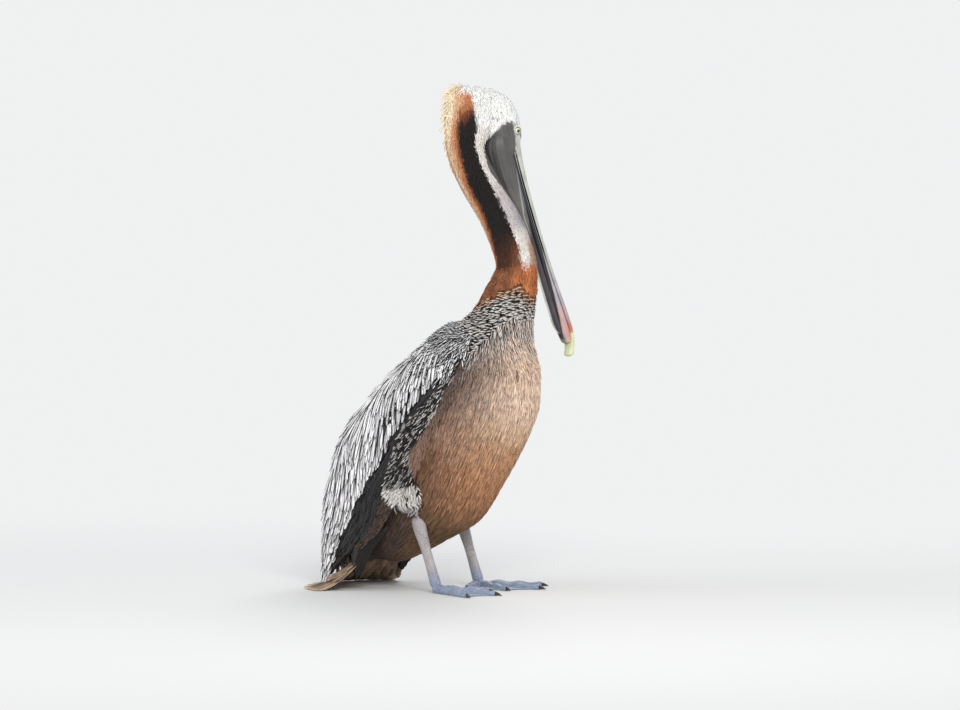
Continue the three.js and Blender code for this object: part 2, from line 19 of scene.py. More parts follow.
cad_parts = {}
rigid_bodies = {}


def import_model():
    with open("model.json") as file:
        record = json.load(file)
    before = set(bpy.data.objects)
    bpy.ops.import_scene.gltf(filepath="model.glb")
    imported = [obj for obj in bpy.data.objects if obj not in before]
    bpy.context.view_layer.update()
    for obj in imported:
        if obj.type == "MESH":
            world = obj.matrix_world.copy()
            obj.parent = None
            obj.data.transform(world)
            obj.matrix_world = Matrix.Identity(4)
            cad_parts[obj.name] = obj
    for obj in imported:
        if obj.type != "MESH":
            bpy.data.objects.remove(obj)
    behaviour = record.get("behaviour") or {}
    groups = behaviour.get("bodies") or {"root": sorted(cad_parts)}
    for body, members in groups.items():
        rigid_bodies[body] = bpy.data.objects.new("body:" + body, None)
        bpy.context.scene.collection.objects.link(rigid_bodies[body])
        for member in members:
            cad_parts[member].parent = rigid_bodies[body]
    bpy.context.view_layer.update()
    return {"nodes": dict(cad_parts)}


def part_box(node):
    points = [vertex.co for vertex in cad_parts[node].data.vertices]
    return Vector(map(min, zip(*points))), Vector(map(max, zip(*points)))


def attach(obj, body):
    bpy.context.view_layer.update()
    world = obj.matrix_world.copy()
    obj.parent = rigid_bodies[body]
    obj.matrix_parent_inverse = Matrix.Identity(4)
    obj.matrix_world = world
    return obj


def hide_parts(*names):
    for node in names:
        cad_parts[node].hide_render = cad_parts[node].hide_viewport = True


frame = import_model()
print("frame nodes:", len(frame["nodes"]))

# %% [markdown]
# ## The camera
# A bird that stands taller than the eye is best seen from a little above the floor with a long lens,
# which keeps the bill, neck and tail in their true proportions. The camera is set first, because
# everything else is judged through it.

# %% Camera
def new_object(name, data):
    """An object that shows some data, put in the scene."""
    made = bpy.data.objects.new(name, data)
    bpy.context.scene.collection.objects.link(made)
    return made


CAMERA_AZIMUTH = np.radians(28)
CAMERA_HEIGHT_ANGLE = np.radians(2.5)
CAMERA_DISTANCE = 7.47
CAMERA_LENS = 200
LOOKS_AT = np.array([0.0779, 0.0119, 0.330])

level = np.cos(CAMERA_HEIGHT_ANGLE)
way_back = np.array(
    [np.sin(CAMERA_AZIMUTH) * level, -np.cos(CAMERA_AZIMUTH) * level, np.sin(CAMERA_HEIGHT_ANGLE)]
)
camera = new_object("camera", bpy.data.cameras.new("camera"))
camera.data.lens = CAMERA_LENS
camera.location = LOOKS_AT + way_back * CAMERA_DISTANCE
camera.rotation_euler = Vector(way_back).to_track_quat("Z", "Y").to_euler()
camera.data.clip_end = 50
bpy.context.scene.camera = camera
print("camera at", np.round(camera.location, 3))

# %% [markdown]
# ## Tables of the body
# Each row is one station along the bird, as a boat builder sets frames along a keel. A smooth curve
# through the rows gives every size in between. The rows are the same as those of the solids, so the
# feathers end where the solids do.

# %% Sizes of the body
MM = 0.001
FULL_TURN = 2 * np.pi
CENTRE = np.array([47, -4.5, 0])  # moves the tables' zero to the frame's
HEAD_TURN = np.radians(58)  # the head's heading, to the left
BILL_DIP = np.radians(70)  # the bill's direction, below the level
HEAD_AT = np.array([65.2, 23.1, 643.6])  # on the bill's axis, level with the eyes
BILL_LENGTH = 330
EYE_RADIUS, EYE_OUT, EYE_UP, EYE_AHEAD = 8, 15.5, 9, 2

# Centre x, y, z, then the reach towards the back, towards the belly and to each side.
BODY = np.array(
    [
        [-130, 0, 46, 12, 8, 24],
        [-114, 0, 55, 42, 20, 36],
        [-93, 0, 68, 76, 36, 46],
        [-67, 0, 99, 108, 57, 62],
        [-40, 0, 141, 122, 86, 76],
        [-8, 0, 194, 118, 90, 86],
        [17.4, 0, 246, 104, 95, 88],
        [38, 0, 295, 82, 95, 85],
        [58.7, 0, 337, 64, 75, 71],
        [76, 0, 372, 50, 42, 53],
        [86, 0, 407, 40, 36, 42],
        [95, 0, 435, 34, 33, 35],
        [96.5, 0, 460, 30, 30, 30],
        [86, -2, 494, 29, 29, 29],
        [68.5, -7, 533, 28.5, 28.5, 28.5],
        [46, -16, 575, 29, 29, 29],
        [31.5, -24, 617, 30, 30, 28],
        [30.6, -28, 659, 31, 54, 27],
        [31, -29, 686, 31, 58, 25.5],
    ]
)
TAIL_DOME, NAPE_DOME = 16, 21  # reach of the rounded ends
DOME_SHARE = 0.97  # a rounded end stops this close to its pole, where a small cap closes it
THINNEST, THINNEST_LIMB = 0.5, 0.3  # least radius of a section
TWIST_FROM, TWIST_TO = 11, 16  # the neck turns with the head between these stations
print("body:", len(BODY), "stations")

# %% Sizes of the head, the bill and the pouch
# Place along the bill's axis, the centre above it, half height and half width.
HEAD = np.array(
    [
        [-58, -6, 12, 12],
        [-50, -5, 20, 18],
        [-38, -3.5, 27, 24],
        [-20, -2.5, 29.5, 26.5],
        [-3, -2.5, 28.5, 26],
        [15, -4, 26.5, 24],
        [32, -6.5, 22, 20],
    ]
)
HEAD_DOME = 6
# Place along the axis, height of the upper half, depth of the lower half, half width.
BILL = np.array(
    [
        [14, 18, 10, 18],
        [60, 13, 9.5, 13.5],
        [120, 10.5, 9, 11.5],
        [200, 9, 9.5, 11],
        [270, 10, 12, 12],
        [310, 9, 11, 11],
        [BILL_LENGTH, 7.5, 4, 8.5],
    ]
)
BILL_GAPE, BILL_SAG, HOOK_FROM, HOOK_DROP, NAIL_DEPTH = 1.2, 3, 292, 8.5, 5.5
# Place along the axis, reach below it and half width.
POUCH = np.array(
    [
        [-8, 20, 14],
        [12, 37, 23],
        [50, 36, 19],
        [85, 30, 15],
        [115, 21, 11],
        [150, 13.5, 8],
        [220, 15, 8],
        [280, 17, 8.5],
    ]
)
print("bill:", BILL_LENGTH, "mm long")

# %% Sizes of the wings and legs
# The folded wing's ridge on the back and its eave on the flank: x, reach to the side, z.
WING_RIDGE = np.array(
    [
        [12, 0.5, 382],
        [-13, 0.5, 372],
        [-56, 0.5, 338],
        [-102, 0.5, 300],
        [-137, 0.5, 265],
        [-173, 0.5, 223],
        [-190, 0.5, 178],
        [-203.5, 1, 123],
        [-206, 3, 80],
        [-204, 8, 42],
    ]
)
WING_EAVE = np.array(
    [
        [63, 66, 362],
        [49.4, 87, 320],
        [27.7, 98, 267],
        [1.5, 101, 215],
        [-27, 97, 166],
        [-61.6, 90, 120],
        [-90, 81, 86],
        [-116, 73, 64],
        [-136, 66, 49],
        [-150, 60, 38],
    ]
)
WING_BACK_DEPTH, WING_EAVE_DEPTH, WING_TIP_DEPTH = 46, 9, 5
WING_SHOULDER, WING_SHOULDER_RUN = 0.35, 0.7
STEP_AHEAD, STANCE = 4, 55  # each foot's place ahead of or behind the middle, and to its side
HEEL, ANKLE = np.array([-24, 96]), np.array([3, 12])  # x and z
THIGH_TOP = np.array([-42, 61, 146])
SIDES = {"right": -1, "left": 1}
print("wing:", len(WING_RIDGE), "stations")

# %% [markdown]
# ## Curved sheets
# Plumage lies on curved sheets: the body, the head, each wing and each thigh. A sheet is a function of
# two numbers, one along it and one around it, and works on whole arrays at once. The same function
# then serves for the skin, for the roots of the feathers and for the paths that the feathers follow.

# %% Small helpers
def lengths(v):
    """The length of each vector."""
    return np.linalg.norm(v, axis=-1)


def unit(v):
    """Each vector divided by its length."""
    return v / np.maximum(lengths(v)[..., None], 1e-9)


def ease(x):
    """0 below 0, 1 above 1, and 3x^2 - 2x^3 between."""
    f = np.clip(x, 0, 1)
    return f * f * (3 - 2 * f)


def bell(x, width):
    """A smooth bump of height 1 at x = 0."""
    return np.exp(-((x / width) ** 2))


def floats(*values):
    """The values as arrays of floats, spread to one shape."""
    return np.broadcast_arrays(*(np.asarray(v, float) for v in values))


def around(count):
    """Angles spread evenly round a section."""
    return np.arange(count) / count * FULL_TURN


def from_top(angle):
    """How far round from the top or the back an angle lies, from 0 to half a turn on either side."""
    return np.abs(np.mod(angle + np.pi, FULL_TURN) - np.pi)


print("ease at a quarter:", ease(0.25))


# %% Curves and sections
def along(rows, u):
    """The Catmull-Rom curve through the rows at stations u, straight on beyond both ends."""
    rows, u = np.asarray(rows, float), np.asarray(u, float)
    last = len(rows) - 1
    inside = np.clip(u, 0, last)
    i = np.minimum(inside.astype(int), last - 1)
    f = (inside - i)[..., None]
    padded = np.concatenate([[2 * rows[0] - rows[1]], rows, [2 * rows[-1] - rows[-2]]])
    before, here, after, beyond = (padded[i + k] for k in range(4))
    slope0, slope1 = (after - before) / 2, (beyond - here) / 2
    curve = here + (after - here) * f * f * (3 - 2 * f) + f * (1 - f) * (slope0 * (1 - f) - slope1 * f)
    end_slope = np.where(u[..., None] > last, rows[-1] - rows[-2], rows[1] - rows[0])
    return curve + (u - inside)[..., None] * end_slope


def domes(u, last):
    """Rounded ends: the sine of an angle that grows beyond the last station, the same before the first,
    and the product of their cosines, by which the sections shrink."""
    over = np.clip(u - last, 0, DOME_SHARE) * np.pi / 2
    under = np.clip(-u, 0, DOME_SHARE) * np.pi / 2
    return np.sin(over), np.sin(under), np.cos(over) * np.cos(under)


def egg(centre, up, out, top, bottom, half, angle):
    """centre + up cos(angle) (top or bottom) + out sin(angle) half: an egg-shaped section."""
    lift, aside = np.cos(angle), np.sin(angle)
    reach = lift * np.where(lift > 0, top, bottom)
    return centre + up * reach[..., None] + out * (aside * half)[..., None]


print("along the body at 4.5:", np.round(along(BODY, 4.5)[:3], 1))

# %% The body, from under the tail to the top of the nape
LEFT, UP = np.array([0.0, 1, 0]), np.array([0.0, 0, 1])
BODY_END = len(BODY) - 1
SHORT_STEP = 0.05  # of a station, to find the way in which the middle line runs


def body_sheet(u, angle, inset=0.0):
    """Egg sections along the body's curve, closed by a dome beyond each end. The angle runs from the
    back towards the bird's left. The section turns with the head between two stations."""
    u, angle = floats(u, angle)
    inside = np.clip(u, 0, BODY_END)
    row = along(BODY, inside)
    ahead = along(BODY[:, :3], np.minimum(inside + SHORT_STEP, BODY_END))
    behind = along(BODY[:, :3], np.maximum(inside - SHORT_STEP, 0))
    axis = unit(ahead - behind)
    out = unit(LEFT - axis * (axis @ LEFT)[..., None])
    up = np.cross(axis, out)
    twist = (HEAD_TURN * ease((inside - TWIST_FROM) / (TWIST_TO - TWIST_FROM)))[..., None]
    up, out = up * np.cos(twist) - out * np.sin(twist), out * np.cos(twist) + up * np.sin(twist)
    nape, tail, shrink = domes(u, BODY_END)
    centre = row[..., :3] + axis * (NAPE_DOME * nape - TAIL_DOME * tail)[..., None]
    top, bottom, half = (np.maximum((row[..., k] - inset) * shrink, THINNEST) for k in (3, 4, 5))
    return egg(centre, up, out, top, bottom, half, angle)


# %% The head, along the bill's axis
HEADING = np.array([np.cos(HEAD_TURN), np.sin(HEAD_TURN), 0])
BILL_WAY = np.cos(BILL_DIP) * HEADING - np.sin(BILL_DIP) * UP
CROWN_WAY = np.sin(BILL_DIP) * HEADING + np.cos(BILL_DIP) * UP
HEAD_LEFT = np.cross(CROWN_WAY, BILL_WAY)
HEAD_END = len(HEAD) - 1


def head_place(ahead, up, left=0.0):
    """A point given along the bill's axis, towards the crown and to the head's left."""
    ahead, up, left = np.broadcast_arrays(ahead, up, left)
    return HEAD_AT + ahead[..., None] * BILL_WAY + up[..., None] * CROWN_WAY + left[..., None] * HEAD_LEFT


def head_sheet(u, angle, inset=0.0):
    """Round sections square to the bill's axis, closed by a dome beyond each end. The angle runs from
    the crown towards the head's left."""
    u, angle = floats(u, angle)
    ahead, up, tall, wide = np.moveaxis(along(HEAD, np.clip(u, 0, HEAD_END)), -1, 0)
    face, back, shrink = domes(u, HEAD_END)
    centre = head_place(ahead + HEAD_DOME * (face - back), up)
    tall, wide = (np.maximum((reach - inset) * shrink, THINNEST) for reach in (tall, wide))
    return egg(centre, CROWN_WAY, HEAD_LEFT, tall, tall, wide, angle)


print("the head's heading:", np.round(HEADING, 2))


# %% A folded wing
def wing_sheet(side, s, t, inset=0.0, inner=False):
    """A quarter ellipse from the ridge on the back (t = 0) to the eave on the flank (t = 1), carried
    from the shoulder (s = 0) to the tips (s = 9)."""
    s, t = floats(s, t)
    (ridge_x, ridge_y, ridge_z), (eave_x, eave_y, eave_z) = (
        np.moveaxis(along(rows, s), -1, 0) for rows in (WING_RIDGE, WING_EAVE)
    )
    slim = ease((s - 3) / (len(WING_RIDGE) - 5))
    back = WING_BACK_DEPTH + (WING_TIP_DEPTH - WING_BACK_DEPTH) * slim
    edge = WING_EAVE_DEPTH + (WING_TIP_DEPTH - WING_EAVE_DEPTH) * slim
    share = 1.0 if inner else WING_SHOULDER * (1 - ease(s / WING_SHOULDER_RUN))
    ridge_share = 1 - (share * back + inset) / np.hypot(ridge_x - eave_x, ridge_z - eave_z)
    eave_share = 1 - (share * edge + inset) / (eave_y - ridge_y)
    cos, sin = np.cos(t * np.pi / 2) * ridge_share, np.sin(t * np.pi / 2) * eave_share
    x, z = eave_x + (ridge_x - eave_x) * cos, eave_z + (ridge_z - eave_z) * cos
    return np.stack([x, side * (ridge_y + (eave_y - ridge_y) * sin), z], axis=-1)


print("the wing's tip at the eave:", np.round(wing_sheet(1, len(WING_EAVE) - 1, 1), 1))


# %% Thighs and legs
def limb_sheet(rows, end_reach, u, angle, inset=0.0):
    """Oval sections square to the line from the first row to the last, with a dome at each end.
    A row is x, y, z, reach fore and aft, reach to each side."""
    u, angle = floats(u, angle)
    last = len(rows) - 1
    axis = unit(rows[-1, :3] - rows[0, :3])
    out = unit(LEFT - axis * axis[1])
    up = np.cross(axis, out)
    row = along(rows, np.clip(u, 0, last))
    end, start, shrink = domes(u, last)
    centre = row[..., :3] + axis * (end_reach * (end - start))[..., None]
    deep, wide = (np.maximum((row[..., k] - inset) * shrink, THINNEST_LIMB) for k in (3, 4))
    return egg(centre, up, out, deep, deep, wide, angle)


def thigh_rows(side):
    """Top, middle and end of the feathered thigh."""
    ahead = side * STEP_AHEAD
    x, y, z = THIGH_TOP
    return np.array(
        [
            [x + ahead / 2, side * y, z, 36, 30],
            [(x + HEEL[0]) / 2 + ahead, side * (y + 2), (z + HEEL[1]) / 2 + 4, 27, 22],
            [HEEL[0] + ahead, side * STANCE, HEEL[1] + 14, 11, 9.5],
        ]
    )


def shank_rows(side):
    """The bare leg from above the heel down to the ankle."""
    ahead = side * STEP_AHEAD
    middle = (HEEL + ANKLE) / 2
    return np.array(
        [
            [HEEL[0] + ahead, side * STANCE, HEEL[1] + 12, 9, 8],
            [HEEL[0] + ahead, side * STANCE, HEEL[1], 10.5, 8.5],
            [middle[0] + ahead, side * STANCE, middle[1], 7.5, 5.2],
            [ANKLE[0] + ahead, side * STANCE, ANKLE[1], 8.5, 6],
        ]
    )


eye_seen = (np.array(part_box("eye_right")[0]) + np.array(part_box("eye_right")[1])) / 2
eye_made = (head_place(EYE_AHEAD, EYE_UP, -EYE_OUT) + CENTRE) * MM
print("right eye is off by", np.round(lengths(eye_seen - eye_made) / MM, 2), "mm")

# %% [markdown]
# ## Meshes from arrays
# Blender takes whole arrays of points and faces. A tube is a grid of rings whose first and last ring
# are capped. A feather is the same thing in small: a flat tube whose rings are as wide as its vane.

# %% Units and colours
def metres(points):
    """Points from the tables' millimetres to the frame's metres."""
    return (np.asarray(points).reshape(-1, 3) + CENTRE) * MM


def paint(*rgb):
    """A colour as the eye reads it, 0 to 255, as linear light."""
    c = np.asarray(rgb, float) / 255
    return np.where(c <= 0.04045, c / 12.92, ((c + 0.055) / 1.055) ** 2.4)


print("middle grey as light:", np.round(paint(128, 128, 128), 3))


# %% From arrays to a piece of the model
def turn_outwards(mesh):
    """Turns the faces of closed shapes so that they point outwards."""
    work = bmesh.new()
    work.from_mesh(mesh)
    bmesh.ops.recalc_face_normals(work, faces=work.faces)
    work.to_mesh(mesh)
    work.free()


def piece(name, points, faces, material, replaces=(), colours=None, maps=None, ways=None,
          recalc=False):
    """Makes one smooth mesh piece that rides on the body. colours are values at the points, maps are
    flat coordinates at the points and ways are directions there."""
    mesh = bpy.data.meshes.new(name)
    if isinstance(faces, np.ndarray):
        mesh.vertices.add(len(points))
        mesh.vertices.foreach_set("co", np.asarray(points, np.float32).ravel())
        mesh.loops.add(faces.size)
        mesh.loops.foreach_set("vertex_index", faces.astype(np.int32).ravel())
        mesh.polygons.add(len(faces))
        starts = np.arange(0, faces.size, faces.shape[1], dtype=np.int32)
        mesh.polygons.foreach_set("loop_start", starts)
        mesh.update(calc_edges=True)
    else:
        mesh.from_pydata(np.asarray(points).tolist(), [], faces)
    if recalc:
        turn_outwards(mesh)
    mesh.polygons.foreach_set("use_smooth", np.ones(len(mesh.polygons), bool))
    for key, values in (colours or {}).items():
        rgba = np.ones((len(points), 4), np.float32)
        rgba[:, :3] = values
        mesh.attributes.new(key, "FLOAT_COLOR", "POINT").data.foreach_set("color", rgba.ravel())
    for key, values in (ways or {}).items():
        made = mesh.attributes.new(key, "FLOAT_VECTOR", "POINT")
        made.data.foreach_set("vector", np.asarray(values, np.float32).ravel())
    corners = np.empty(len(mesh.loops), np.int32)
    mesh.loops.foreach_get("vertex_index", corners)
    for key, flat in (maps or {}).items():
        mesh.uv_layers.new(name=key).data.foreach_set("uv", np.asarray(flat, np.float32)[corners].ravel())
    mesh.materials.append(material)
    made = new_object(name, mesh)
    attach(made, "root")
    if replaces:
        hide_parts(*replaces)
    print(name, len(mesh.vertices), "points,", len(mesh.polygons), "faces")
    return made


print("collection:", bpy.context.scene.collection.name)


# %% Tubes made of rings
def ring_quads(rings, count, closed=False):
    """Quads that join rings of count points each to the next, and the last to the first if closed."""
    j, k = np.meshgrid(np.arange(rings if closed else rings - 1), np.arange(count), indexing="ij")
    here, beside = j * count + k, j * count + (k + 1) % count
    onward = ((j + 1) % rings - j) * count
    return np.stack([here, here + onward, beside + onward, beside], axis=-1).reshape(-1, 4)


def tube_faces(rings, count):
    """Faces of a tube of rings, with a cap on each end, as lists."""
    first, last = list(range(count)), list(range((rings - 1) * count, rings * count))[::-1]
    return ring_quads(rings, count).tolist() + [first, last]


def closed_tube(sheet, u_values, count):
    """A closed tube over a sheet that runs all the way round."""
    points = sheet(u_values[:, None], around(count)[None, :])
    return points.reshape(-1, 3), tube_faces(len(u_values), count)


def ringed_piece(name, rings, tone, material, slot, replaces):
    """A piece that is one closed tube, from its rings of points in millimetres and their colours."""
    return piece(name, metres(rings), tube_faces(*rings.shape[:2]), material, replaces,
                 {"Tone": tone.reshape(-1, 3)}, recalc=True)


print("a tube of 3 rings of 8:", len(tube_faces(3, 8)), "faces")

# %% [markdown]
# ## Node helpers
# A material is a small circuit. Writing each node in one line keeps the circuits short enough to read.
# Effects that several finishes share, such as the barbs of a feather, are groups with named sockets.

# %% Node helpers
def put(tree, kind, links=None, **settings):
    """Adds a node, sets its properties and feeds its inputs with values or with other sockets."""
    made = tree.nodes.new(kind)
    for key, value in settings.items():
        setattr(made, key, value)
    for key, value in (links or {}).items():
        socket = made.inputs[key]
        if isinstance(value, bpy.types.NodeSocket):
            tree.links.new(value, socket)
        else:
            socket.default_value = value
    return made


def math(tree, operation, *values):
    """One arithmetic step."""
    return put(tree, "ShaderNodeMath", dict(enumerate(values)), operation=operation).outputs[0]


def smooth_step(tree, value, low, high):
    """0 below low, 1 above high, with a soft bend between."""
    links = {"Value": value, "From Min": low, "From Max": high}
    return put(tree, "ShaderNodeMapRange", links, interpolation_type="SMOOTHSTEP").outputs[0]


def mix_colour(tree, share, a, b, blend="MIX"):
    """Two colours mixed by a share."""
    links = {0: share, 6: a, 7: b}
    return put(tree, "ShaderNodeMix", links, data_type="RGBA", blend_type=blend).outputs[2]


def attribute(tree, name, output="Color"):
    """What a mesh stores at its points under a name."""
    return put(tree, "ShaderNodeAttribute", attribute_name=name).outputs[output]


def noise(tree, scale, detail, roughness=0.5):
    """Soft noise over the object's own coordinates."""
    place = put(tree, "ShaderNodeTexCoord").outputs["Object"]
    links = {"Vector": place, "Scale": scale, "Detail": detail, "Roughness": roughness}
    return put(tree, "ShaderNodeTexNoise", links).outputs["Fac"]


print("materials so far:", len(bpy.data.materials))


# %% New materials and groups
def new_material(name, gloss):
    """A material whose shader has the values in gloss. Gives it with its tree and its shader."""
    material = bpy.data.materials.new(name)
    material.use_nodes = True
    shader = material.node_tree.nodes["Principled BSDF"]
    for key, value in gloss.items():
        shader.inputs[key].default_value = value
    return material, material.node_tree, shader


def new_group(name, inputs, outputs):
    """An empty shader node group with named sockets. Gives its tree and the nodes at both ends."""
    tree = bpy.data.node_groups.new(name, "ShaderNodeTree")
    for key, (kind, default) in inputs.items():
        socket = tree.interface.new_socket(key, in_out="INPUT", socket_type=kind)
        if default is not None:
            socket.default_value = default
    for key, kind in outputs.items():
        tree.interface.new_socket(key, in_out="OUTPUT", socket_type=kind)
    return tree, tree.nodes.new("NodeGroupInput"), tree.nodes.new("NodeGroupOutput")


def surface(tree, shader, colour, relief):
    """Feeds the shader with a colour and, through a bump, with a relief's Height, Strength and so on."""
    tree.links.new(colour, shader.inputs["Base Color"])
    tree.links.new(put(tree, "ShaderNodeBump", relief).outputs[0], shader.inputs["Normal"])


FLOAT, VECTOR, COLOUR = "NodeSocketFloat", "NodeSocketVector", "NodeSocketColor"
print("socket kinds:", FLOAT, VECTOR, COLOUR)

# %% [markdown]
# ## Mottling and grain
# No part of a bird is one flat colour: wear, dust and light between the barbs make soft patches, and skin and
# horn have a fine grain. Both could be painted as pictures, but noise in the object's own space needs no seam
# and has the same size on every piece. Every finish of the bird uses the mottling group, and those of skin,
# horn, eyes and legs use the grain group too.

# %% Groups: mottling and grain
mottle_tree, g_in, g_out = new_group(
    "mottling",
    {
        "Colour": (COLOUR, None),
        "Scale": (FLOAT, 100.0),
        "Detail": (FLOAT, 3.0),
        "Depth": (FLOAT, 0.3),
        "Lift": (FLOAT, 0.0),
    },
    {"Colour": COLOUR},
)
cloud = noise(mottle_tree, g_in.outputs["Scale"], g_in.outputs["Detail"])
patches = math(mottle_tree, "MULTIPLY", smooth_step(mottle_tree, cloud, 0.3, 0.7), g_in.outputs["Depth"])
ground = math(mottle_tree, "SUBTRACT", 1.0, math(mottle_tree, "MULTIPLY", g_in.outputs["Depth"], 0.6))
level = math(mottle_tree, "ADD", math(mottle_tree, "ADD", patches, ground), g_in.outputs["Lift"])
shade = put(mottle_tree, "ShaderNodeCombineColor", {0: level, 1: level, 2: level}).outputs[0]
mottled = mix_colour(mottle_tree, 1.0, g_in.outputs["Colour"], shade, "MULTIPLY")
mottle_tree.links.new(mottled, g_out.inputs["Colour"])

grain_tree, g_in, g_out = new_group("grain", {"Scale": (FLOAT, 900.0)}, {"Height": FLOAT})
grain_tree.links.new(noise(grain_tree, g_in.outputs["Scale"], 3.0, 0.6), g_out.inputs["Height"])
print("groups:", mottle_tree.name, grain_tree.name)

# %% [markdown]
# ## What a vane looks like close up
# A feather has a stiff shaft and, on both sides, barbs that run out and forward to its edge. The edge
# and tip are often another colour. The group reads the vane's own flat map: x goes across it, from 0
# at one edge over 0.5 at the shaft to 1, and y goes from the root to the tip.

# %% Group: the markings of a vane
vane_tree, g_in, g_out = new_group(
    "vane_markings",
    {
        "Vane": (VECTOR, None),
        "Edge From": (FLOAT, 0.6),
        "Edge Full": (FLOAT, 0.9),
        "Tip From": (FLOAT, 0.8),
        "Barbs": (FLOAT, 14.0),
    },
    {"Rim": FLOAT, "Shaft": FLOAT, "Height": FLOAT},
)
vane_xyz = put(vane_tree, "ShaderNodeSeparateXYZ", {0: g_in.outputs["Vane"]})
off_middle = math(vane_tree, "ABSOLUTE", math(vane_tree, "SUBTRACT", vane_xyz.outputs[0], 0.5))
from_shaft = math(vane_tree, "MULTIPLY", off_middle, 2.0)
edge = smooth_step(vane_tree, from_shaft, g_in.outputs["Edge From"], g_in.outputs["Edge Full"])
tip = smooth_step(vane_tree, vane_xyz.outputs[1], g_in.outputs["Tip From"], 1.0)
shaft = math(vane_tree, "SUBTRACT", 1.0, smooth_step(vane_tree, from_shaft, 0.05, 0.16))
slant = math(vane_tree, "SUBTRACT", vane_xyz.outputs[1], math(vane_tree, "MULTIPLY", from_shaft, 0.25))
turns = math(vane_tree, "MULTIPLY", g_in.outputs["Barbs"], 6.2832)
waves = math(vane_tree, "SINE", math(vane_tree, "MULTIPLY", slant, turns))
height = math(vane_tree, "ADD", math(vane_tree, "MULTIPLY", waves, 0.25), shaft)
vane_tree.links.new(math(vane_tree, "MAXIMUM", edge, tip), g_out.inputs["Rim"])
vane_tree.links.new(shaft, g_out.inputs["Shaft"])
vane_tree.links.new(height, g_out.inputs["Height"])
print("group sockets:", [s.name for s in vane_tree.interface.items_tree])


# %% Material of a coat of feathers
def plumage(name, edge=(0.55, 0.95), tip_from=0.85, barbs=12, roughness=0.75, bump=0.35, mottle=0.25,
            shaft_light=0.0, soft=0.0):
    """Tone in the middle of each vane and Rim along its edges, broken up by soft noise, with the shaft
    lighter by shaft_light. The share soft of the shading comes from the sheet under the coat, so that
    close feathers look like one soft surface."""
    material, tree, shader = new_material(name, {"Roughness": roughness, "Specular IOR Level": 0.3})
    links = {
        "Vane": put(tree, "ShaderNodeUVMap", uv_map="Vane").outputs[0],
        "Edge From": edge[0],
        "Edge Full": edge[1],
        "Tip From": tip_from,
        "Barbs": barbs,
    }
    marks = put(tree, "ShaderNodeGroup", links, node_tree=vane_tree).outputs
    links = {
        "Colour": mix_colour(tree, marks["Rim"], attribute(tree, "Tone"), attribute(tree, "Rim")),
        "Scale": 170,
        "Detail": 3,
        "Depth": mottle,
        "Lift": math(tree, "MULTIPLY", marks["Shaft"], shaft_light),
    }
    mottled = put(tree, "ShaderNodeGroup", links, node_tree=mottle_tree).outputs["Colour"]
    relief = {"Height": marks["Height"], "Strength": bump, "Distance": 0.0006}
    if soft:
        own_way = put(tree, "ShaderNodeNewGeometry").outputs["Normal"]
        relief["Normal"] = mix_colour(tree, soft, own_way, attribute(tree, "Outward", "Vector"))
    surface(tree, shader, mottled, relief)
    return material


# %% [markdown]
# ## Laying feathers in rows
# Feathers grow in rows, each one rooted in the gap between two of the row before, like roof tiles. The
# roots are spread evenly by length over a sheet, and each feather then follows the sheet in the way
# that the coat lies, a little steeper with every millimetre, so that it covers the next row's roots.

# %% A sheet with its coat's direction
class Lie:
    """A sheet whose coat points to rising or falling u (way), with normals turned out by facing."""

    def __init__(self, sheet, way, facing=1, chart=((0, 1), (0, 1))):
        self.sheet, self.way, self.facing, self.chart = sheet, way, facing, np.array(chart, float)

    def frame(self, u, a, step=0.02):
        """How the point moves with u and with a, per unit, and the outward normal."""
        by_u = (self.sheet(u + step, a) - self.sheet(u - step, a)) / (2 * step)
        by_a = (self.sheet(u, a + step) - self.sheet(u, a - step)) / (2 * step)
        return by_u, by_a, unit(np.cross(by_u, by_a)) * self.facing

    def flat(self, u, a):
        """Where a point lies on the sheet's own flat chart, from 0.02 to 0.98 each way."""
        (u0, u1), (a0, a1) = self.chart
        a = a0 + np.mod(a - a0, FULL_TURN) if a1 - a0 == FULL_TURN else a
        place = np.stack([(a - a0) / (a1 - a0), (u - u0) / (u1 - u0)], axis=-1)
        return 0.02 + 0.96 * np.clip(place, 0, 1)


def roots_in_rows(lie, u_span, a_span, row_gap, root_gap, seed, jitter=0.3):
    """Staggered rows a gap apart along the sheet, with roots a gap apart across it, a little uneven."""
    rng = np.random.default_rng(seed)
    fine, across = np.linspace(*u_span, 300), np.linspace(*a_span, 120)
    lines = lie.sheet(fine[None, :], np.linspace(*a_span, 7)[:, None])
    steps = lengths(np.diff(lines, axis=1)).mean(axis=0)
    arc = np.concatenate([[0], np.cumsum(steps)])
    us, angles = [], []
    for k, u in enumerate(np.interp(np.arange(row_gap / 2, arc[-1], row_gap), arc, fine)):
        pace = lengths(np.diff(lie.sheet(np.full(len(across), u), across), axis=0))
        width = np.concatenate([[0], np.cumsum(pace)])
        places = np.arange(root_gap * (0.25 + 0.5 * (k % 2)), width[-1], root_gap)
        angles.append(np.interp(places, width, across))
        us.append(np.full(len(places), u))
    u, a = np.concatenate(us), np.concatenate(angles)
    by_u, by_a, _ = lie.frame(u, a)
    u = u + rng.uniform(-jitter, jitter, len(u)) * row_gap / np.maximum(lengths(by_u), 3)
    a = a + rng.uniform(-jitter, jitter, len(u)) * root_gap / np.maximum(lengths(by_a), 3)
    return np.clip(u, *u_span), np.clip(a, *a_span)


# %% The vane itself
# Rings of a small and of a large vane: place across, from -1 to 1, and height from -1 to 1.
SMALL_RING = np.array([[-1, 0], [0, 1], [1, 0], [0, -1]])
LARGE_RING = np.array([[-1, 0], [-0.13, 0.35], [0, 1], [0.13, 0.35], [1, 0], [0, -0.8]])
PATCH = 0.003  # size of a vane's patch on the flat chart
SLOWEST = 4  # least millimetres per unit of u or a that a path reckons with, near a sheet's poles


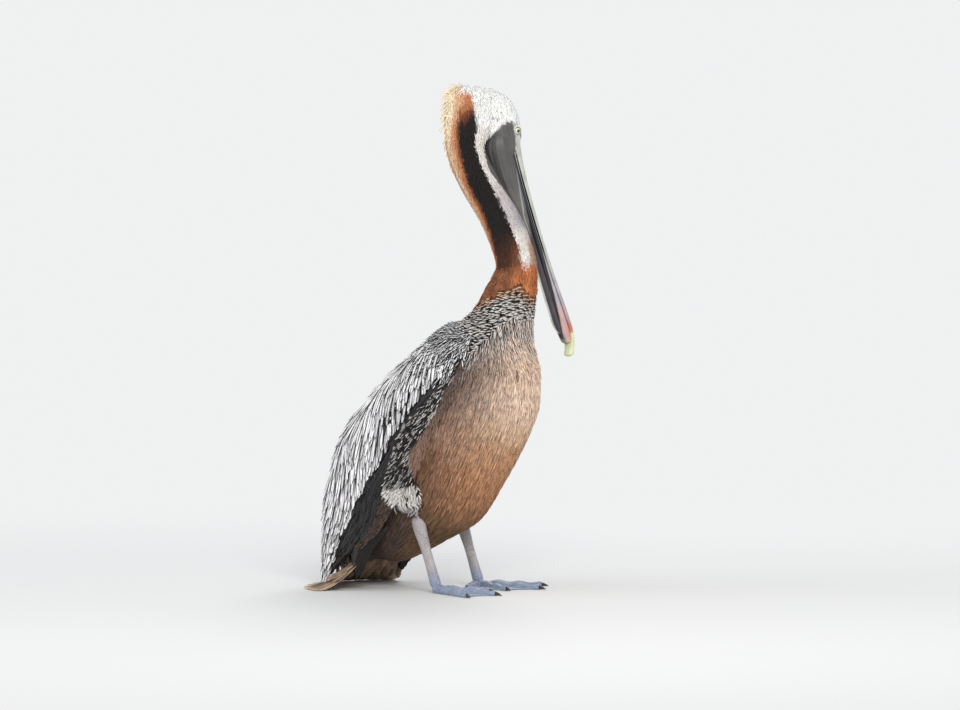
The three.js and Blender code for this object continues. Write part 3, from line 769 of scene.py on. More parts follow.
def vane_faces(count, stations, ring):
    """Quads of many closed vanes, whose rings follow one another."""
    sides = ring_quads(stations, ring)
    cap = [[0, 1, 2, 3]] if ring == 4 else [[0, 1, 2, 5], [5, 2, 3, 4]]
    start, end = np.array(cap), np.array(cap)[:, ::-1] + (stations - 1) * ring
    one = np.concatenate([sides, start, end])
    return (one[None] + (np.arange(count) * stations * ring)[:, None, None]).reshape(-1, 4)


def vanes(lie, u, a, length, half_width, swing=0.0, rise=(0.0, 3.0), shape=(0.5, 0.5), stations=5,
          ring=SMALL_RING, thick=0.35, droop=0.15, curl=0.0, seed=0):
    """Points, flat maps and outward ways of one closed vane per root. The middle line leaves its root
    at an angle of swing to the coat's direction and follows the sheet, rising over it from rise[0] to
    rise[1]. The half width at share s is half_width s^p (1-s)^q, scaled to 1 at its widest."""
    rng = np.random.default_rng(seed)
    count = len(u)
    sizes = (length, half_width, swing, curl, *rise)
    length, half_width, swing, curl, low, high = (np.broadcast_to(v, (count,))[:, None] for v in sizes)
    s = 1 - np.linspace(1, 0, stations)[None, :] ** 1.4  # closer together towards the tip
    by_u, by_a, _ = lie.frame(u, a)
    pace_u, pace_a = (np.maximum(lengths(by), SLOWEST)[:, None] for by in (by_u, by_a))
    us = u[:, None] + lie.way * np.cos(swing) * length * s / pace_u
    angles = a[:, None] + np.sin(swing) * length * s / pace_a
    _, _, normal = lie.frame(us, angles)
    lift = low + (high - low) * s**1.2 * rng.uniform(0.75, 1.25, (count, 1)) + curl * s**3
    middle = lie.sheet(us, angles) + normal * lift[..., None]
    forward = unit(np.gradient(middle, axis=1))
    across = unit(np.cross(normal, forward))
    up = unit(np.cross(forward, across))
    p, q = shape
    peak = p / (p + q)
    profile = (s**p * (1 - s) ** q) / (peak**p * (1 - peak) ** q)
    wide = half_width * np.maximum(profile, [[0.25] + [0.06] * (stations - 1)])
    x, y = ring[:, 0], ring[:, 1]
    flatten = thick * y[None, None, :] * np.minimum(1, 0.3 + profile)[..., None]
    sag = droop * np.abs(x)[None, None, :] * wide[..., None]
    points = (
        middle[:, :, None, :]
        + across[:, :, None, :] * (wide[..., None] * x)[..., None]
        + up[:, :, None, :] * (flatten - sag)[..., None]
    )
    shape_ = (count, stations, len(ring))
    own = np.stack([np.broadcast_to((x + 1) / 2, shape_), np.broadcast_to(s[0][None, :, None], shape_)], -1)
    chart = lie.flat(u, a)[:, None, None, :] + PATCH * (own - 0.5)
    outward = np.broadcast_to(normal[:, :, None, :], (*shape_, 3))
    return points.reshape(-1, 3), own.reshape(-1, 2), chart.reshape(-1, 2), outward.reshape(-1, 3)


print("a small vane:", len(vane_faces(1, 5, len(SMALL_RING))), "faces")

# %% A piece of coat
all_roots = []  # places and colours of every root, for the skin's markings


def coat(name, lie, u, a, tone, rim, material, slot, replaces=(), rng=None, ruffle=0.0, stations=5,
         ring=SMALL_RING, **how):
    """Lays one piece of coat: a vane at each root, coloured by tone in the middle and rim outside. A
    length or half_width given as a span is drawn from it for each vane. Ruffle turns each vane a little
    out of its way, by chance."""
    for key in ("length", "half_width"):
        if isinstance(how[key], tuple):
            how[key] = rng.uniform(*how[key], len(u))
    if ruffle:
        how["swing"] = how.get("swing", 0.0) + rng.normal(0, ruffle, len(u))
    points, own, chart, outward = vanes(lie, u, a, stations=stations, ring=ring, **how)
    per = stations * len(ring)
    faces = vane_faces(len(u), stations, len(ring))
    all_roots.append((metres(lie.sheet(u, a)), tone))
    colours = {"Tone": np.repeat(tone, per, axis=0), "Rim": np.repeat(rim, per, axis=0)}
    maps = {"OFBake": chart, "Vane": own}
    return piece(name, metres(points), faces, material, replaces, colours, maps, {"Outward": outward})


def vary(colour, rng, count, amount=0.1):
    """One colour for each root, each a little lighter or darker."""
    base = np.broadcast_to(colour, (count, 3))
    return np.clip(base * (1 + rng.normal(0, amount, (count, 1))), 0, 1)


def blend(share, a, b):
    """a where share is 0 and b where it is 1."""
    share = np.asarray(share)[..., None]
    return a * (1 - share) + b * share


# %% [markdown]
# ## Which roots show
# Under a folded wing the body has no need of a full coat, and a root inside another form would only
# poke out of it. Rays and nearest points against the frame's own solids tell which roots are hidden.

# %% Tests for hidden roots
RAY_REACH = 80  # no hidden root lies deeper than this under what hides it


def tree_of(*names):
    """A search tree over the faces of some of the frame's nodes."""
    points, faces = [], []
    for name in names:
        mesh = frame["nodes"][name].data
        start = len(points)
        points += [v.co.copy() for v in mesh.vertices]
        faces += [[start + i for i in p.vertices] for p in mesh.polygons]
    return BVHTree.FromPolygons(points, faces)


def covered(lie, u, a, reach, *names):
    """Whether a straight line out of each root meets one of the nodes within reach millimetres, or
    leaves it from inside."""
    tree = tree_of(*names)
    _, _, normal = lie.frame(u, a)
    found = []
    for start, way in zip(metres(lie.sheet(u, a)), normal):
        _, face_way, _, far = tree.ray_cast(Vector(start), Vector(way), RAY_REACH * MM)
        found.append(far is not None and (far < reach * MM or face_way.dot(Vector(way)) > 0))
    return np.array(found, bool)


def buried(points, *names, slack):
    """Whether each point, in metres, lies more than slack millimetres inside one of the nodes."""
    tree = tree_of(*names)
    near = [tree.find_nearest(Vector(p)) for p in points]
    return np.array([(Vector(p) - n[0]).dot(n[1]) < -slack * MM for p, n in zip(points, near)], bool)


WINGS = [f"wing_{word}_{band}" for word in SIDES for band in ("coverts", "flight", "primaries")]
print("wing nodes:", len(WINGS))

# %% [markdown]
# ## The neck
# The neck wears short velvety feathers. A chestnut band with a pale edge runs down behind, the sides
# are blackish brown, and a white line borders the bare throat. The colour of each feather is worked out
# from its place round the neck, so the bands bend and turn with it.

# %% Colours and borders of the neck
BODY_CHART = ((-1, 19), (0, FULL_TURN))

WHITE, CREAM, FAWN = paint(244, 244, 242), paint(246, 228, 196), paint(222, 176, 140)
ORANGE, RED_BROWN = paint(194, 126, 86), paint(136, 76, 50)
NECK_DARK, NECK_BROWN, FORE_NECK = paint(30, 26, 25), paint(74, 44, 32), paint(198, 158, 134)
STRIPE, STRIPE_GREY, THROAT_DOWN = paint(236, 229, 222), paint(204, 195, 196), paint(190, 184, 188)
RING_FRONT, RING_SIDE = paint(192, 116, 72), paint(134, 84, 58)

# Stations, and how far round from the back in degrees each border lies there.
# chestnut band to dark side
BAND_BORDER = ([12, 13.8, 15.2, 16.2, 17.2], [44, 38, 31, 43, 44])
# dark side to white line, which widens to the cap
STRIPE_BORDER = (
    [11.8, 12.6, 13.4, 14.4, 15.2, 15.6, 16.3, 16.9, 17.7, 18.4],
    [128, 126, 110, 97, 93, 88, 91, 98, 94, 87],
)
# white line to bare skin
THROAT_BORDER = (
    [13.8, 13.9, 14.3, 14.7, 15.1, 15.4, 16.0, 16.3, 16.5, 16.8],
    [181, 172, 139, 126, 111, 107, 117, 124, 150, 181],
)
# The other way about: degrees round from the back, and the station of the border there.
COLLAR_TOP = ([0, 41, 73, 90, 110, 127, 145, 171], [9.4, 9.7, 10.1, 10.52, 10.8, 10.94, 10.76, 10.52])
COLLAR_END = ([0, 88, 94, 100, 108, 123, 142, 165, 180], [7.7, 7.8, 8.2, 8.8, 9.1, 9.3, 9.42, 9.45, 9.35])


def degrees_from_back(angle):
    """How far round from the back of the neck, 0 to 180 degrees on either side."""
    return np.degrees(from_top(angle))


def flat_tone(colour, like):
    """One colour for each number of an array."""
    return np.broadcast_to(colour, (*np.shape(like), 3))


print("collar's upper edge behind and in front:", COLLAR_TOP[1][0], COLLAR_TOP[1][-1])


# %% Colour of the neck from place to place
def neck_tone(u, angle):
    """Bands round the neck, with the lower neck turning chestnut all round."""
    d = degrees_from_back(angle)
    border = np.interp(u, *BAND_BORDER)
    # the band behind: orange, fawn along its border and near the crest, cream down its middle
    fawn = np.maximum(ease((border - 8 - d) / 20), ease((u - 16.9) / 0.8))
    band = blend(fawn, ORANGE, FAWN)
    band = blend(ease((10 + 28 * ease((u - 15.9) / 2) - d) / 16), band, CREAM)
    # a red-brown seam between the band and the side
    seam = ease((d - border + 14) / 12) * (1 - ease((u - 16.6) / 0.9))
    band = blend(seam * 0.8, band, RED_BROWN)
    # the side: blackish above, brown below, and chestnut in front near the collar
    side = blend(ease((u - 12.2) / 1.5), NECK_BROWN, NECK_DARK)
    side = blend(0.8 * ease((d - 88) / 34) * (1 - ease((u - 12.4) / 0.9)), side, RING_SIDE)
    # the top of the side, through red-brown and orange to the white cap
    top = blend(ease((d - 40) / 34), FAWN, ORANGE)
    top = blend(ease((u - 17.5) / 0.7), RED_BROWN, top)
    top = blend(ease((u - 18.35) / 0.4), top, WHITE)
    side = blend(ease((u - 16.9 - 0.4 * ease((d - 60) / 25)) / 0.8), side, top)
    tone = blend(ease((d - border + 8) / 14), band, side)
    # the white line, greyish along the middle of the throat
    white = blend(ease((u - 16.6) / 0.8), STRIPE, WHITE)
    white = blend(ease((u - 13.1) / 0.3) * (1 - ease((u - 14.3) / 0.9)), white, STRIPE_GREY)
    tone = blend(ease((d - np.interp(u, *STRIPE_BORDER) + 5) / 7), tone, white)
    # the front, pale brown below the throat and with lilac down on it
    tone = blend(ease((d - 152) / 12) * (1 - ease((u - 12.6) / 0.6)), tone, FORE_NECK)
    throat = ease((u - 13.1) / 0.3) * (1 - ease((u - 14.4) / 0.4))
    tone = blend(ease((d - 136) / 10) * throat, tone, THROAT_DOWN)
    # the chestnut ring above the collar, a little patchy
    ring = blend(ease((d - 90) / 50), RING_SIDE, RING_FRONT)
    ring = ring * (1 + 0.26 * np.sin(0.11 * d + 5.1 * u) * np.sin(0.05 * d - 3.7 * u))[..., None]
    return blend(ease((12.15 - u) / 0.35), tone, ring)


print("tone behind the head:", np.round(neck_tone(np.array([18.0]), np.array([0.0]))[0], 2))

# %% Neck feathers
NECK_DEPTH = 2.4
neck_lie = Lie(lambda u, a: body_sheet(u, a, NECK_DEPTH), way=-1, chart=BODY_CHART)
u, a = roots_in_rows(neck_lie, (9.2, 18.95), (0, FULL_TURN), 3.0, 2.4, seed=11)
d = degrees_from_back(a)
bare = (u > 13.8) & (d > np.interp(u, *THROAT_BORDER))
inside = buried(metres(body_sheet(u, a)), "head", "pouch", "bill_upper", "bill_lower", slack=3)
keep = ~bare & ~inside & (u > np.interp(d, *COLLAR_TOP) + 0.12)
u, a = u[keep], a[keep]
rng = np.random.default_rng(12)
tone = vary(neck_tone(u + rng.normal(0, 0.05, len(u)), a + rng.normal(0, 0.02, len(u))), rng, len(u), 0.08)
high = ease((u - 16) / 1.2)
velvet = plumage("neck_velvet", edge=(0.5, 1.0), tip_from=0.7, barbs=6, roughness=0.9, bump=0.12,
                 mottle=0.12, soft=0.45)
coat("coat_neck", neck_lie, u, a, tone, np.clip(tone * 1.12, 0, 1), velvet, "plumage_neck", rng=rng,
     length=(8, 11), half_width=1.6, ruffle=0.1, rise=(-0.4 + 0.4 * high, NECK_DEPTH - 1.1 - 0.7 * high),
     shape=(0.4, 0.5), thick=0.06, droop=0.04, stations=4, seed=13)

# %% [markdown]
# ## The collar and the body
# Where the neck widens into the breast, short broad feathers, dark with a pale tip, make wavy rows of
# crescents. Below them pale-shafted streaks fade into the breast. Over the breast and belly the
# feathers turn long, narrow and brown, and so alike in tone that only a fine grain shows.

# %% Colours of the body
SCALE_PALE, SCALE_DARK = paint(236, 230, 225), paint(34, 28, 26)
SCALE_WARM, SCALE_BROWN = paint(232, 194, 158), paint(112, 72, 50)
RUMP = paint(90, 74, 65)
# Stations from the belly up to the breast, and the feathers' colours there in front and at the sides.
TONE_AT = [3.9, 4.6, 5.3, 6.0, 6.5, 7.3]
FRONT_TONES = [
    paint(*rgb)
    for rgb in (
        (128, 100, 71), (172, 124, 90), (200, 145, 107), (200, 153, 118), (220, 181, 147), (236, 205, 182)
    )
]
# At the sides the colours are darker partly by the plumage and partly as painted shade beside the wing.
SIDE_TONES_SHADED = [
    paint(*rgb)
    for rgb in (
        (101, 76, 60), (131, 98, 76), (134, 99, 76), (166, 132, 112), (150, 120, 103), (120, 100, 90)
    )
]
SILVER, INK = paint(234, 232, 234), paint(34, 33, 34)
MOTTLE_PALE, MOTTLE_DARK, THIGH_PALE = paint(204, 200, 197), paint(56, 51, 49), paint(240, 236, 232)
print("body colours at", len(TONE_AT), "stations")

# %% Collar scales
BODY_DEPTH = 2.6
body_lie = Lie(lambda u, a: body_sheet(u, a, BODY_DEPTH), way=-1, chart=BODY_CHART)


def towards_front(angle, most):
    """A swing that turns a feather from straight down towards the front, most at the sides."""
    return most * np.sin(angle)


u, a = roots_in_rows(body_lie, (7.8, 11.3), (0, FULL_TURN), 3.9, 4.6, seed=21, jitter=0.3)
d = degrees_from_back(a)
below_top = np.interp(d, *COLLAR_TOP) + 0.2 - u
keep = (below_top > 0) & (u > np.interp(d, *COLLAR_END) + 0.25)
keep &= ~covered(body_lie, u, a, 9, *WINGS)
u, a, below_top = u[keep], a[keep], below_top[keep]
rng = np.random.default_rng(22)
scaly = plumage("collar_scales", edge=(1.2, 1.4), tip_from=0.72, barbs=7, roughness=0.8, mottle=0.3)
length, half_width = rng.uniform(8.0, 10.0, len(u)), rng.uniform(3.6, 5.6, len(u))
swing = towards_front(a, 0.42) + rng.normal(0, 0.16, len(u))
cool = ease(below_top / 0.6)
tone = vary(blend(cool, SCALE_BROWN, SCALE_DARK), rng, len(u), 0.2)
rim = vary(blend(cool, SCALE_WARM, SCALE_PALE), rng, len(u), 0.14)
coat("collar_scales", body_lie, u, a, tone, rim, scaly, "plumage_body", length=length,
     half_width=half_width, swing=swing, rise=(-0.5, BODY_DEPTH + 0.4), shape=(0.5, 0.14), thick=0.2,
     droop=0.06, stations=7, seed=23)


# %% Colour of the body from place to place
RUMP_BORDER = ([60, 74, 97, 116, 131, 173], [5.0, 4.6, 4.2, 3.6, 2.7, 2.3])  # degrees, station


def tones_along(u, stations, tones):
    """The colour at each u, between those given at some stations."""
    return np.stack([np.interp(u, stations, channel) for channel in np.transpose(tones)], axis=-1)


def body_tone(u, angle):
    """Pale breast, warm belly, both duller and darker round the side, partly as painted shade beside the
    wing, and dark brown under the tail.
    """
    d = degrees_from_back(angle)
    side, front = tones_along(u, TONE_AT, SIDE_TONES_SHADED), tones_along(u, TONE_AT, FRONT_TONES)
    tone = blend(ease((d - 90) / 72), side, front)
    rear = np.interp(d, *RUMP_BORDER)
    return blend(ease((rear + 0.3 - u) / 0.9), tone, RUMP)


print("tone of the breast:", np.round(body_tone(np.array([7.0]), np.array([np.pi]))[0], 2))

# %% Collar streaks
u, a = roots_in_rows(body_lie, (7.0, 10.2), (0, FULL_TURN), 6, 3.0, seed=27)
d = degrees_from_back(a)
fade = ease((np.interp(d, *COLLAR_END) + 0.1 - u) / 1.4)
keep = (u < np.interp(d, *COLLAR_END) + 0.45) & (fade < 1) & ~covered(body_lie, u, a, 9, *WINGS)
u, a, fade = u[keep], a[keep], fade[keep]
rng = np.random.default_rng(28)
tone = vary(blend(0.4 + 0.6 * fade, SCALE_PALE, body_tone(u, a)), rng, len(u), 0.2)
streaky = plumage("collar_streaks", edge=(0.25, 0.62), tip_from=0.96, barbs=8, roughness=0.8)
coat("collar_streaks", body_lie, u, a, tone, blend(fade**0.5, SCALE_DARK, tone * 0.9), streaky,
     "plumage_body", rng=rng, length=(14, 20), half_width=1.8, swing=towards_front(a, 0.3), ruffle=0.1,
     rise=(-0.6, BODY_DEPTH + 0.3), shape=(0.5, 0.45), thick=0.25, droop=0.2, seed=29)

# %% [markdown]
# ## Breast and belly
# Here single feathers can hardly be told apart. The coat could be a smooth shape with streaks painted
# on, but its grain would vanish at the outline and in low light, so it is laid with narrow vanes too.
# Only half of their shading is their own, and the other half is that of the sheet, which keeps it soft.

# %% Breast and belly feathers
# Stations, and how far round from the back in degrees the mottled flank meets the belly there.
FLANK_BORDER = ([3.2, 3.9, 4.3, 4.44, 4.63, 4.98, 5.3], [118, 111, 103, 96, 89, 84, 82])
breast_vane = plumage("breast_feathers", edge=(0.3, 1.0), tip_from=0.9, barbs=9, roughness=0.85, bump=0.25,
                      mottle=0.2, soft=0.5)


def on_flank(u, angle):
    """Whether a place lies in the mottled corner between wing, thigh and belly."""
    return (u > 3.65) & (u < 6) & (degrees_from_back(angle) < np.interp(u, *FLANK_BORDER))


for name, span, gaps, seed in (
    ("coat_breast", (5.0, 9.0), (5.4, 2.9), 24),
    ("coat_belly", (-0.9, 5.0), (5.8, 3.0), 34),
):
    u, a = roots_in_rows(body_lie, span, (0, FULL_TURN), *gaps, seed=seed)
    keep = (u < np.interp(degrees_from_back(a), *COLLAR_END)) & ~on_flank(u, a)
    keep &= ~covered(body_lie, u, a, 9, *WINGS)
    u, a = u[keep], a[keep]
    rng = np.random.default_rng(seed + 1)
    tone = vary(body_tone(u + rng.normal(0, 0.15, len(u)), a), rng, len(u), 0.12)
    pale = rng.random((len(u), 1)) < 0.14
    tone = np.where(pale, np.clip(tone * 1.3, 0, 1), tone)
    coat(name, body_lie, u, a, tone, tone * 0.9, breast_vane, "plumage_body", rng=rng, length=(22, 36),
         half_width=(1.3, 1.9), swing=towards_front(a, 0.12), ruffle=0.09, rise=(-0.4, BODY_DEPTH - 1.0),
         thick=0.14, droop=0.25, stations=4, seed=seed + 2)

# %% [markdown]
# ## Mottled flank
# In the corner between wing, thigh and belly, pale and dark flecks mix like salt and pepper. Each small
# feather takes one of two colours by chance, and the pale ones grow more common towards the thigh.

# %% Mottled flank
u, a = roots_in_rows(body_lie, (3.65, 6.0), (0, FULL_TURN), 3.6, 2.4, seed=44)
keep = on_flank(u, a) & ~covered(body_lie, u, a, 4, *WINGS)
u, a = u[keep], a[keep]
rng = np.random.default_rng(45)
light = rng.random((len(u), 1)) < (0.42 + 0.4 * ease((4.5 - u) / 0.7))[:, None]
tone = vary(np.where(light, MOTTLE_PALE, MOTTLE_DARK * 0.7), rng, len(u), 0.15)
flecked = plumage("flank_flecks", edge=(0.3, 0.9), tip_from=0.8, barbs=8, roughness=0.85, mottle=0.3)
coat("flank_flecks", body_lie, u, a, tone, tone * 0.45, flecked, "plumage_body", rng=rng, length=(8, 12),
     half_width=1.1, ruffle=0.35, rise=(-0.6, BODY_DEPTH + 3), shape=(0.45, 0.5), thick=0.3, droop=0.2,
     stations=4, seed=46)

# %% [markdown]
# ## Crown and crest
# The cap is white and lies close. Behind it the nape carries a fringe of pale spiky feathers that stand
# out from the neck's outline. Short flat vanes give the cap a soft surface that is still feathered.

# %% The head's borders
HEAD_CHART = ((-1, 7), (0, FULL_TURN))
HEAD_DEPTH = 2.0
head_lie = Lie(lambda u, a: head_sheet(u, a, HEAD_DEPTH), way=-1, chart=HEAD_CHART)
# Degrees round from the crown, and the station on the head ahead of which the face is bare.
FACE_BORDER = (
    [0, 20, 45, 60, 75, 93, 112, 133, 155, 180],
    [5.3, 5.2, 4.5, 3.9, 3.4, 3.3, 3.4, 3.75, 4.0, 4.5],
)


def near_eye(u, a, reach):
    """Whether a root lies within reach of the middle of an eye's opening."""
    eyes = [head_place(EYE_AHEAD, EYE_UP, side * (EYE_OUT + 6)) for side in SIDES.values()]
    points = head_sheet(u, a)
    return np.min([lengths(points - eye) for eye in eyes], axis=0) < reach


def bare_face(u, a):
    """The bare skin round the eye and from it down to the throat, on either side."""
    return u > np.interp(degrees_from_back(a), *FACE_BORDER)


print("face border:", len(FACE_BORDER[0]), "places")

# %% Crown feathers
u, a = roots_in_rows(head_lie, (-0.95, 6.0), (0, FULL_TURN), 2.4, 2.2, seed=31)
edge_of_face = np.radians(np.concatenate([np.linspace(-178, -15, 150), np.linspace(15, 178, 150)]))
u = np.concatenate([u, np.interp(degrees_from_back(edge_of_face), *FACE_BORDER) - 0.01])
a = np.concatenate([a, edge_of_face])
hidden = buried(metres(head_sheet(u, a)), "neck_upper", "pouch", "bill_upper", "bill_lower", slack=3)
keep = ~hidden & ~near_eye(u, a, 8.0) & ~bare_face(u, a)
u, a = u[keep], a[keep]
rng = np.random.default_rng(32)
tone = vary(WHITE, rng, len(u), 0.02)
d = degrees_from_back(a)
fleck = (rng.random((len(u), 1)) < 0.06) & (u[:, None] < 3.3) & (d[:, None] > 92)
tone = np.where(fleck, paint(186, 178, 175), tone)
down = plumage("crown_down", edge=(0.5, 1.0), tip_from=0.8, barbs=5, roughness=0.9, bump=0.05,
               mottle=0.04, soft=0.5)
coat("coat_crown", head_lie, u, a, tone, tone * 0.97, down, "plumage_head", rng=rng, length=(6, 8.5),
     half_width=2.1, ruffle=0.12, rise=(0.0, 0.6), shape=(0.4, 0.5), thick=0.05, droop=0.02, stations=4,
     seed=33)

# %% [markdown]
# ## Crest
# The crest is ragged: its feathers differ in length and stand away from the neck, most of all on top.
# The same function makes them, with a steep rise, a pointed shape and a large random swing.

# %% Crest of the nape
u, a = roots_in_rows(neck_lie, (15.6, 18.96), (-0.5, 0.62), 6.4, 4.6, seed=41, jitter=0.5)
middle = 0.24 * (1 - ease((u - 15.6) / 1.8)) + 0.08
keep = np.abs(a - middle) < 0.16 + 0.3 * ease((u - 16) / 1.8)
u, a = u[keep], a[keep]
rng = np.random.default_rng(42)
high = ease((u - 15.6) / 1.6)
tone = vary(blend(high, FAWN, CREAM), rng, len(u), 0.05)
length, swing = rng.uniform(6, 9, len(u)) + 3 * high, rng.normal(0, 0.35, len(u))
spiky = plumage("crest_spikes", edge=(0.5, 1.0), tip_from=0.8, barbs=5, roughness=0.9, bump=0.05, mottle=0.04)
coat("crest_nape", neck_lie, u, a, tone, tone * 0.97, spiky, "plumage_neck", length=length, half_width=1.35,
     swing=swing, rise=(-0.5, 2.0 + 6.0 * high), shape=(0.15, 0.6), thick=0.6, droop=0.0,
     curl=rng.uniform(-1, 1, len(u)), seed=43)

# %% [markdown]
# ## The wings
# A folded wing shows its feathers in tracts. The long narrow shoulder feathers are silver with dark
# edges and hang over the rest. Under their outer border a dark bundle of flight feathers slants down to
# the tail, and small mottled coverts fill the corner between it and the flank. Each border is a short
# table from shoulder to tip, and each tract is then laid by a function of its own.

# %% Wing tracts
WING_CHART = ((-1, 10), (0, 1))
WING_DEPTH = 4.5
LEAST_CUT = 0.45  # a silver feather cut shorter than this share of its length would be a stub
FLIGHT_DARK = paint(38, 37, 39)
# Places from shoulder to tip, and how far from ridge (0) to eave (1) each border lies there.
SILVER_BORDER = (
    [0, 0.6, 1.3, 1.7, 2.1, 2.6, 3.3, 3.8, 4.4, 5.0, 5.8, 7.0, 8.5],
    [1.02, 1.0, 0.92, 0.87, 0.82, 0.795, 0.775, 0.765, 0.782, 0.795, 0.79, 0.787, 0.8],
)
FLIGHT_BORDER = (
    [1.3, 1.7, 2.0, 2.5, 3.0, 3.5, 3.75, 4.0, 4.3, 4.6, 5.0, 5.4, 6.0],
    [0.97, 0.915, 0.868, 0.838, 0.814, 0.812, 0.83, 0.85, 0.875, 0.905, 0.945, 0.963, 0.98],
)
BREAST_BORDER = (
    [1.3, 1.6, 2.0, 2.4, 2.8, 3.1, 3.4, 3.65, 3.8],
    [1.0, 0.975, 0.985, 0.972, 0.965, 0.953, 0.94, 0.97, 1.04],
)
silver_vane = plumage("silver_vanes", edge=(0.54, 0.82), tip_from=0.97, barbs=18, roughness=0.6, bump=0.4,
                      mottle=0.2)
dark_vane = plumage("flight_vanes", edge=(0.72, 0.96), tip_from=0.96, barbs=26, roughness=0.5, bump=0.5,
                    mottle=0.3, shaft_light=0.8)


def wing_lie(side, inset=WING_DEPTH):
    """The folded wing's outer face, with its coat lying from shoulder to tip."""
    return Lie(lambda s, t: wing_sheet(side, s, t, inset), way=1, facing=-side, chart=WING_CHART)


def along_border(lie, s, t, border, step=0.4):
    """The angle at which a vane runs so that it keeps its distance from a border."""
    by_s, by_t, _ = lie.frame(s, t)
    change = (np.interp(s + step, *border) - np.interp(s - step, *border)) / (2 * step)
    return np.arctan2(change * lengths(by_t), lengths(by_s))


def tips(lie, s, t, length, swing):
    """Where on the sheet straight vanes from s, t would end."""
    by_s, by_t, _ = lie.frame(s, t)
    ahead = np.cos(swing) * length / lengths(by_s)
    return s + ahead, t + np.sin(swing) * length / np.maximum(lengths(by_t), SLOWEST)


print("wing borders:", len(SILVER_BORDER[0]), "stations along the silver feathers")

# %% [markdown]
# ## Flight feathers
# The flight feathers of a folded wing slide under one another into a dark bundle, of which only the outer
# edges show. They could be one dark blade with lines on it, but real vanes that overlap catch the light along
# each edge, so each one is laid by itself. Each edge is also painted much lighter than the vane, as a painted
# highlight.

# %% The dark bundle of flight feathers
def lay_flight(word, lie, rng):
    """Long dark vanes that follow the bundle's lower border."""
    s, t = roots_in_rows(lie, (0.9, 7.4), (0.6, 1.03), 16, 4.2, seed=51, jitter=0.3)
    outer = np.interp(s, *FLIGHT_BORDER) - 0.01
    keep = (t > np.interp(s, *SILVER_BORDER) - 0.1) & (t < outer)
    s, t = s[keep], t[keep]
    tone = vary(FLIGHT_DARK, rng, len(s), 0.35)
    # The rim, four times lighter than the tone, is a painted highlight along each edge.
    coat(f"flight_{word}", lie, s, t, tone, tone * 4 + 0.05, dark_vane, "plumage_flight",
         [f"wing_{word}_flight"], rng=rng, length=(62, 80), half_width=4.5,
         swing=along_border(lie, s, t, FLIGHT_BORDER), ruffle=0.02, rise=(-2.0, 2.4), shape=(0.25, 0.3),
         thick=0.45, droop=0.1, stations=9, ring=LARGE_RING, seed=52)


print("flight border:", len(FLIGHT_BORDER[0]), "stations")

# %% [markdown]
# ## Small coverts
# Beside the flank the wing is edged with feathers hardly longer than a fingernail, some pale and some
# dark. Lower down they pass into the fluff of the thigh and the brown rump, and in front into the
# breast, so their colour comes from their place rather than from a piece of their own.

# %% Small mottled coverts
FLUFF_FROM = ([0.93, 1.02], [4.5, 4.16])  # how far from ridge to eave, and where the thigh's fluff begins
RUMP_FROM = 4.72


def lay_small_coverts(word, lie, rng):
    """Mottled vanes outside the dark bundle, which turn into the flank's own feathers lower down."""
    s, t = roots_in_rows(lie, (0.7, 7.0), (0.78, 1.04), 3.3, 2.0, seed=53)
    keep = t > np.interp(s, *FLIGHT_BORDER) + 0.01
    s, t = s[keep], t[keep]
    light = rng.random((len(s), 1)) < 0.42
    tone = vary(np.where(light, MOTTLE_PALE, MOTTLE_DARK * 0.7), rng, len(s), 0.25)
    fluff = ease((s - np.interp(t, *FLUFF_FROM)) / 0.15)
    tone = blend(fluff, tone, vary(THIGH_PALE, rng, len(s), 0.12))
    tone = blend(ease((s - RUMP_FROM) / 0.1), tone, vary(RUMP, rng, len(s), 0.25))
    breast = ease((t - np.interp(s, *BREAST_BORDER)) / 0.01)
    # The edge takes the body's side colours, painted shade included, and is darker still towards the
    # shoulder.
    edge_tone = blend(ease((s - 1.6) / 1.6), SIDE_TONES_SHADED[5] * 0.85, SIDE_TONES_SHADED[4])
    tone = blend(breast, tone, edge_tone)
    rim = tone * (0.2 + 0.7 * np.maximum(breast, fluff))[:, None]
    coat(f"small_coverts_{word}", lie, s, t, tone, rim, flecked, "plumage_coverts", rng=rng, length=(7, 11),
         half_width=0.95, swing=0.05 + 0.4 * breast, ruffle=0.2, rise=(0, 4.0 - 1.8 * breast),
         shape=(0.45, 0.5), thick=0.3, droop=0.2, seed=54)


print("the thigh's fluff begins at stations", FLUFF_FROM[1])

# %% [markdown]
# ## Shoulder and silver feathers
# The long feathers of the shoulder are silver with a blackish edge, which draws each one as a stripe.
# They end in a line over the dark bundle. A feather that would cross that line is cut shorter rather
# than left out, because gaps between the tips would show the skin.

# %% Shoulder and silver feathers
def lay_shoulder(word, lie, rng):
    """Short feathers over the wing's front end, fewer and fewer towards the long ones."""
    s, t = roots_in_rows(lie, (-0.1, 2.2), (0.0, 1.0), 4.6, 3.4, seed=57)
    keep = (t < np.interp(s, *SILVER_BORDER) + 0.02) & (rng.random(len(s)) > ease((s - 1.1) / 1.1))
    s, t = s[keep], t[keep]
    tone = vary(SILVER, rng, len(s), 0.35) * 0.85
    coat(f"shoulder_{word}", lie, s, t, tone, flat_tone(INK, s), streaky, "plumage_coverts", rng=rng,
         length=(8, 13), half_width=2.1, swing=0.3 * t, ruffle=0.25, rise=(-0.5, 3.6), shape=(0.5, 0.4),
         droop=0.2, seed=58)


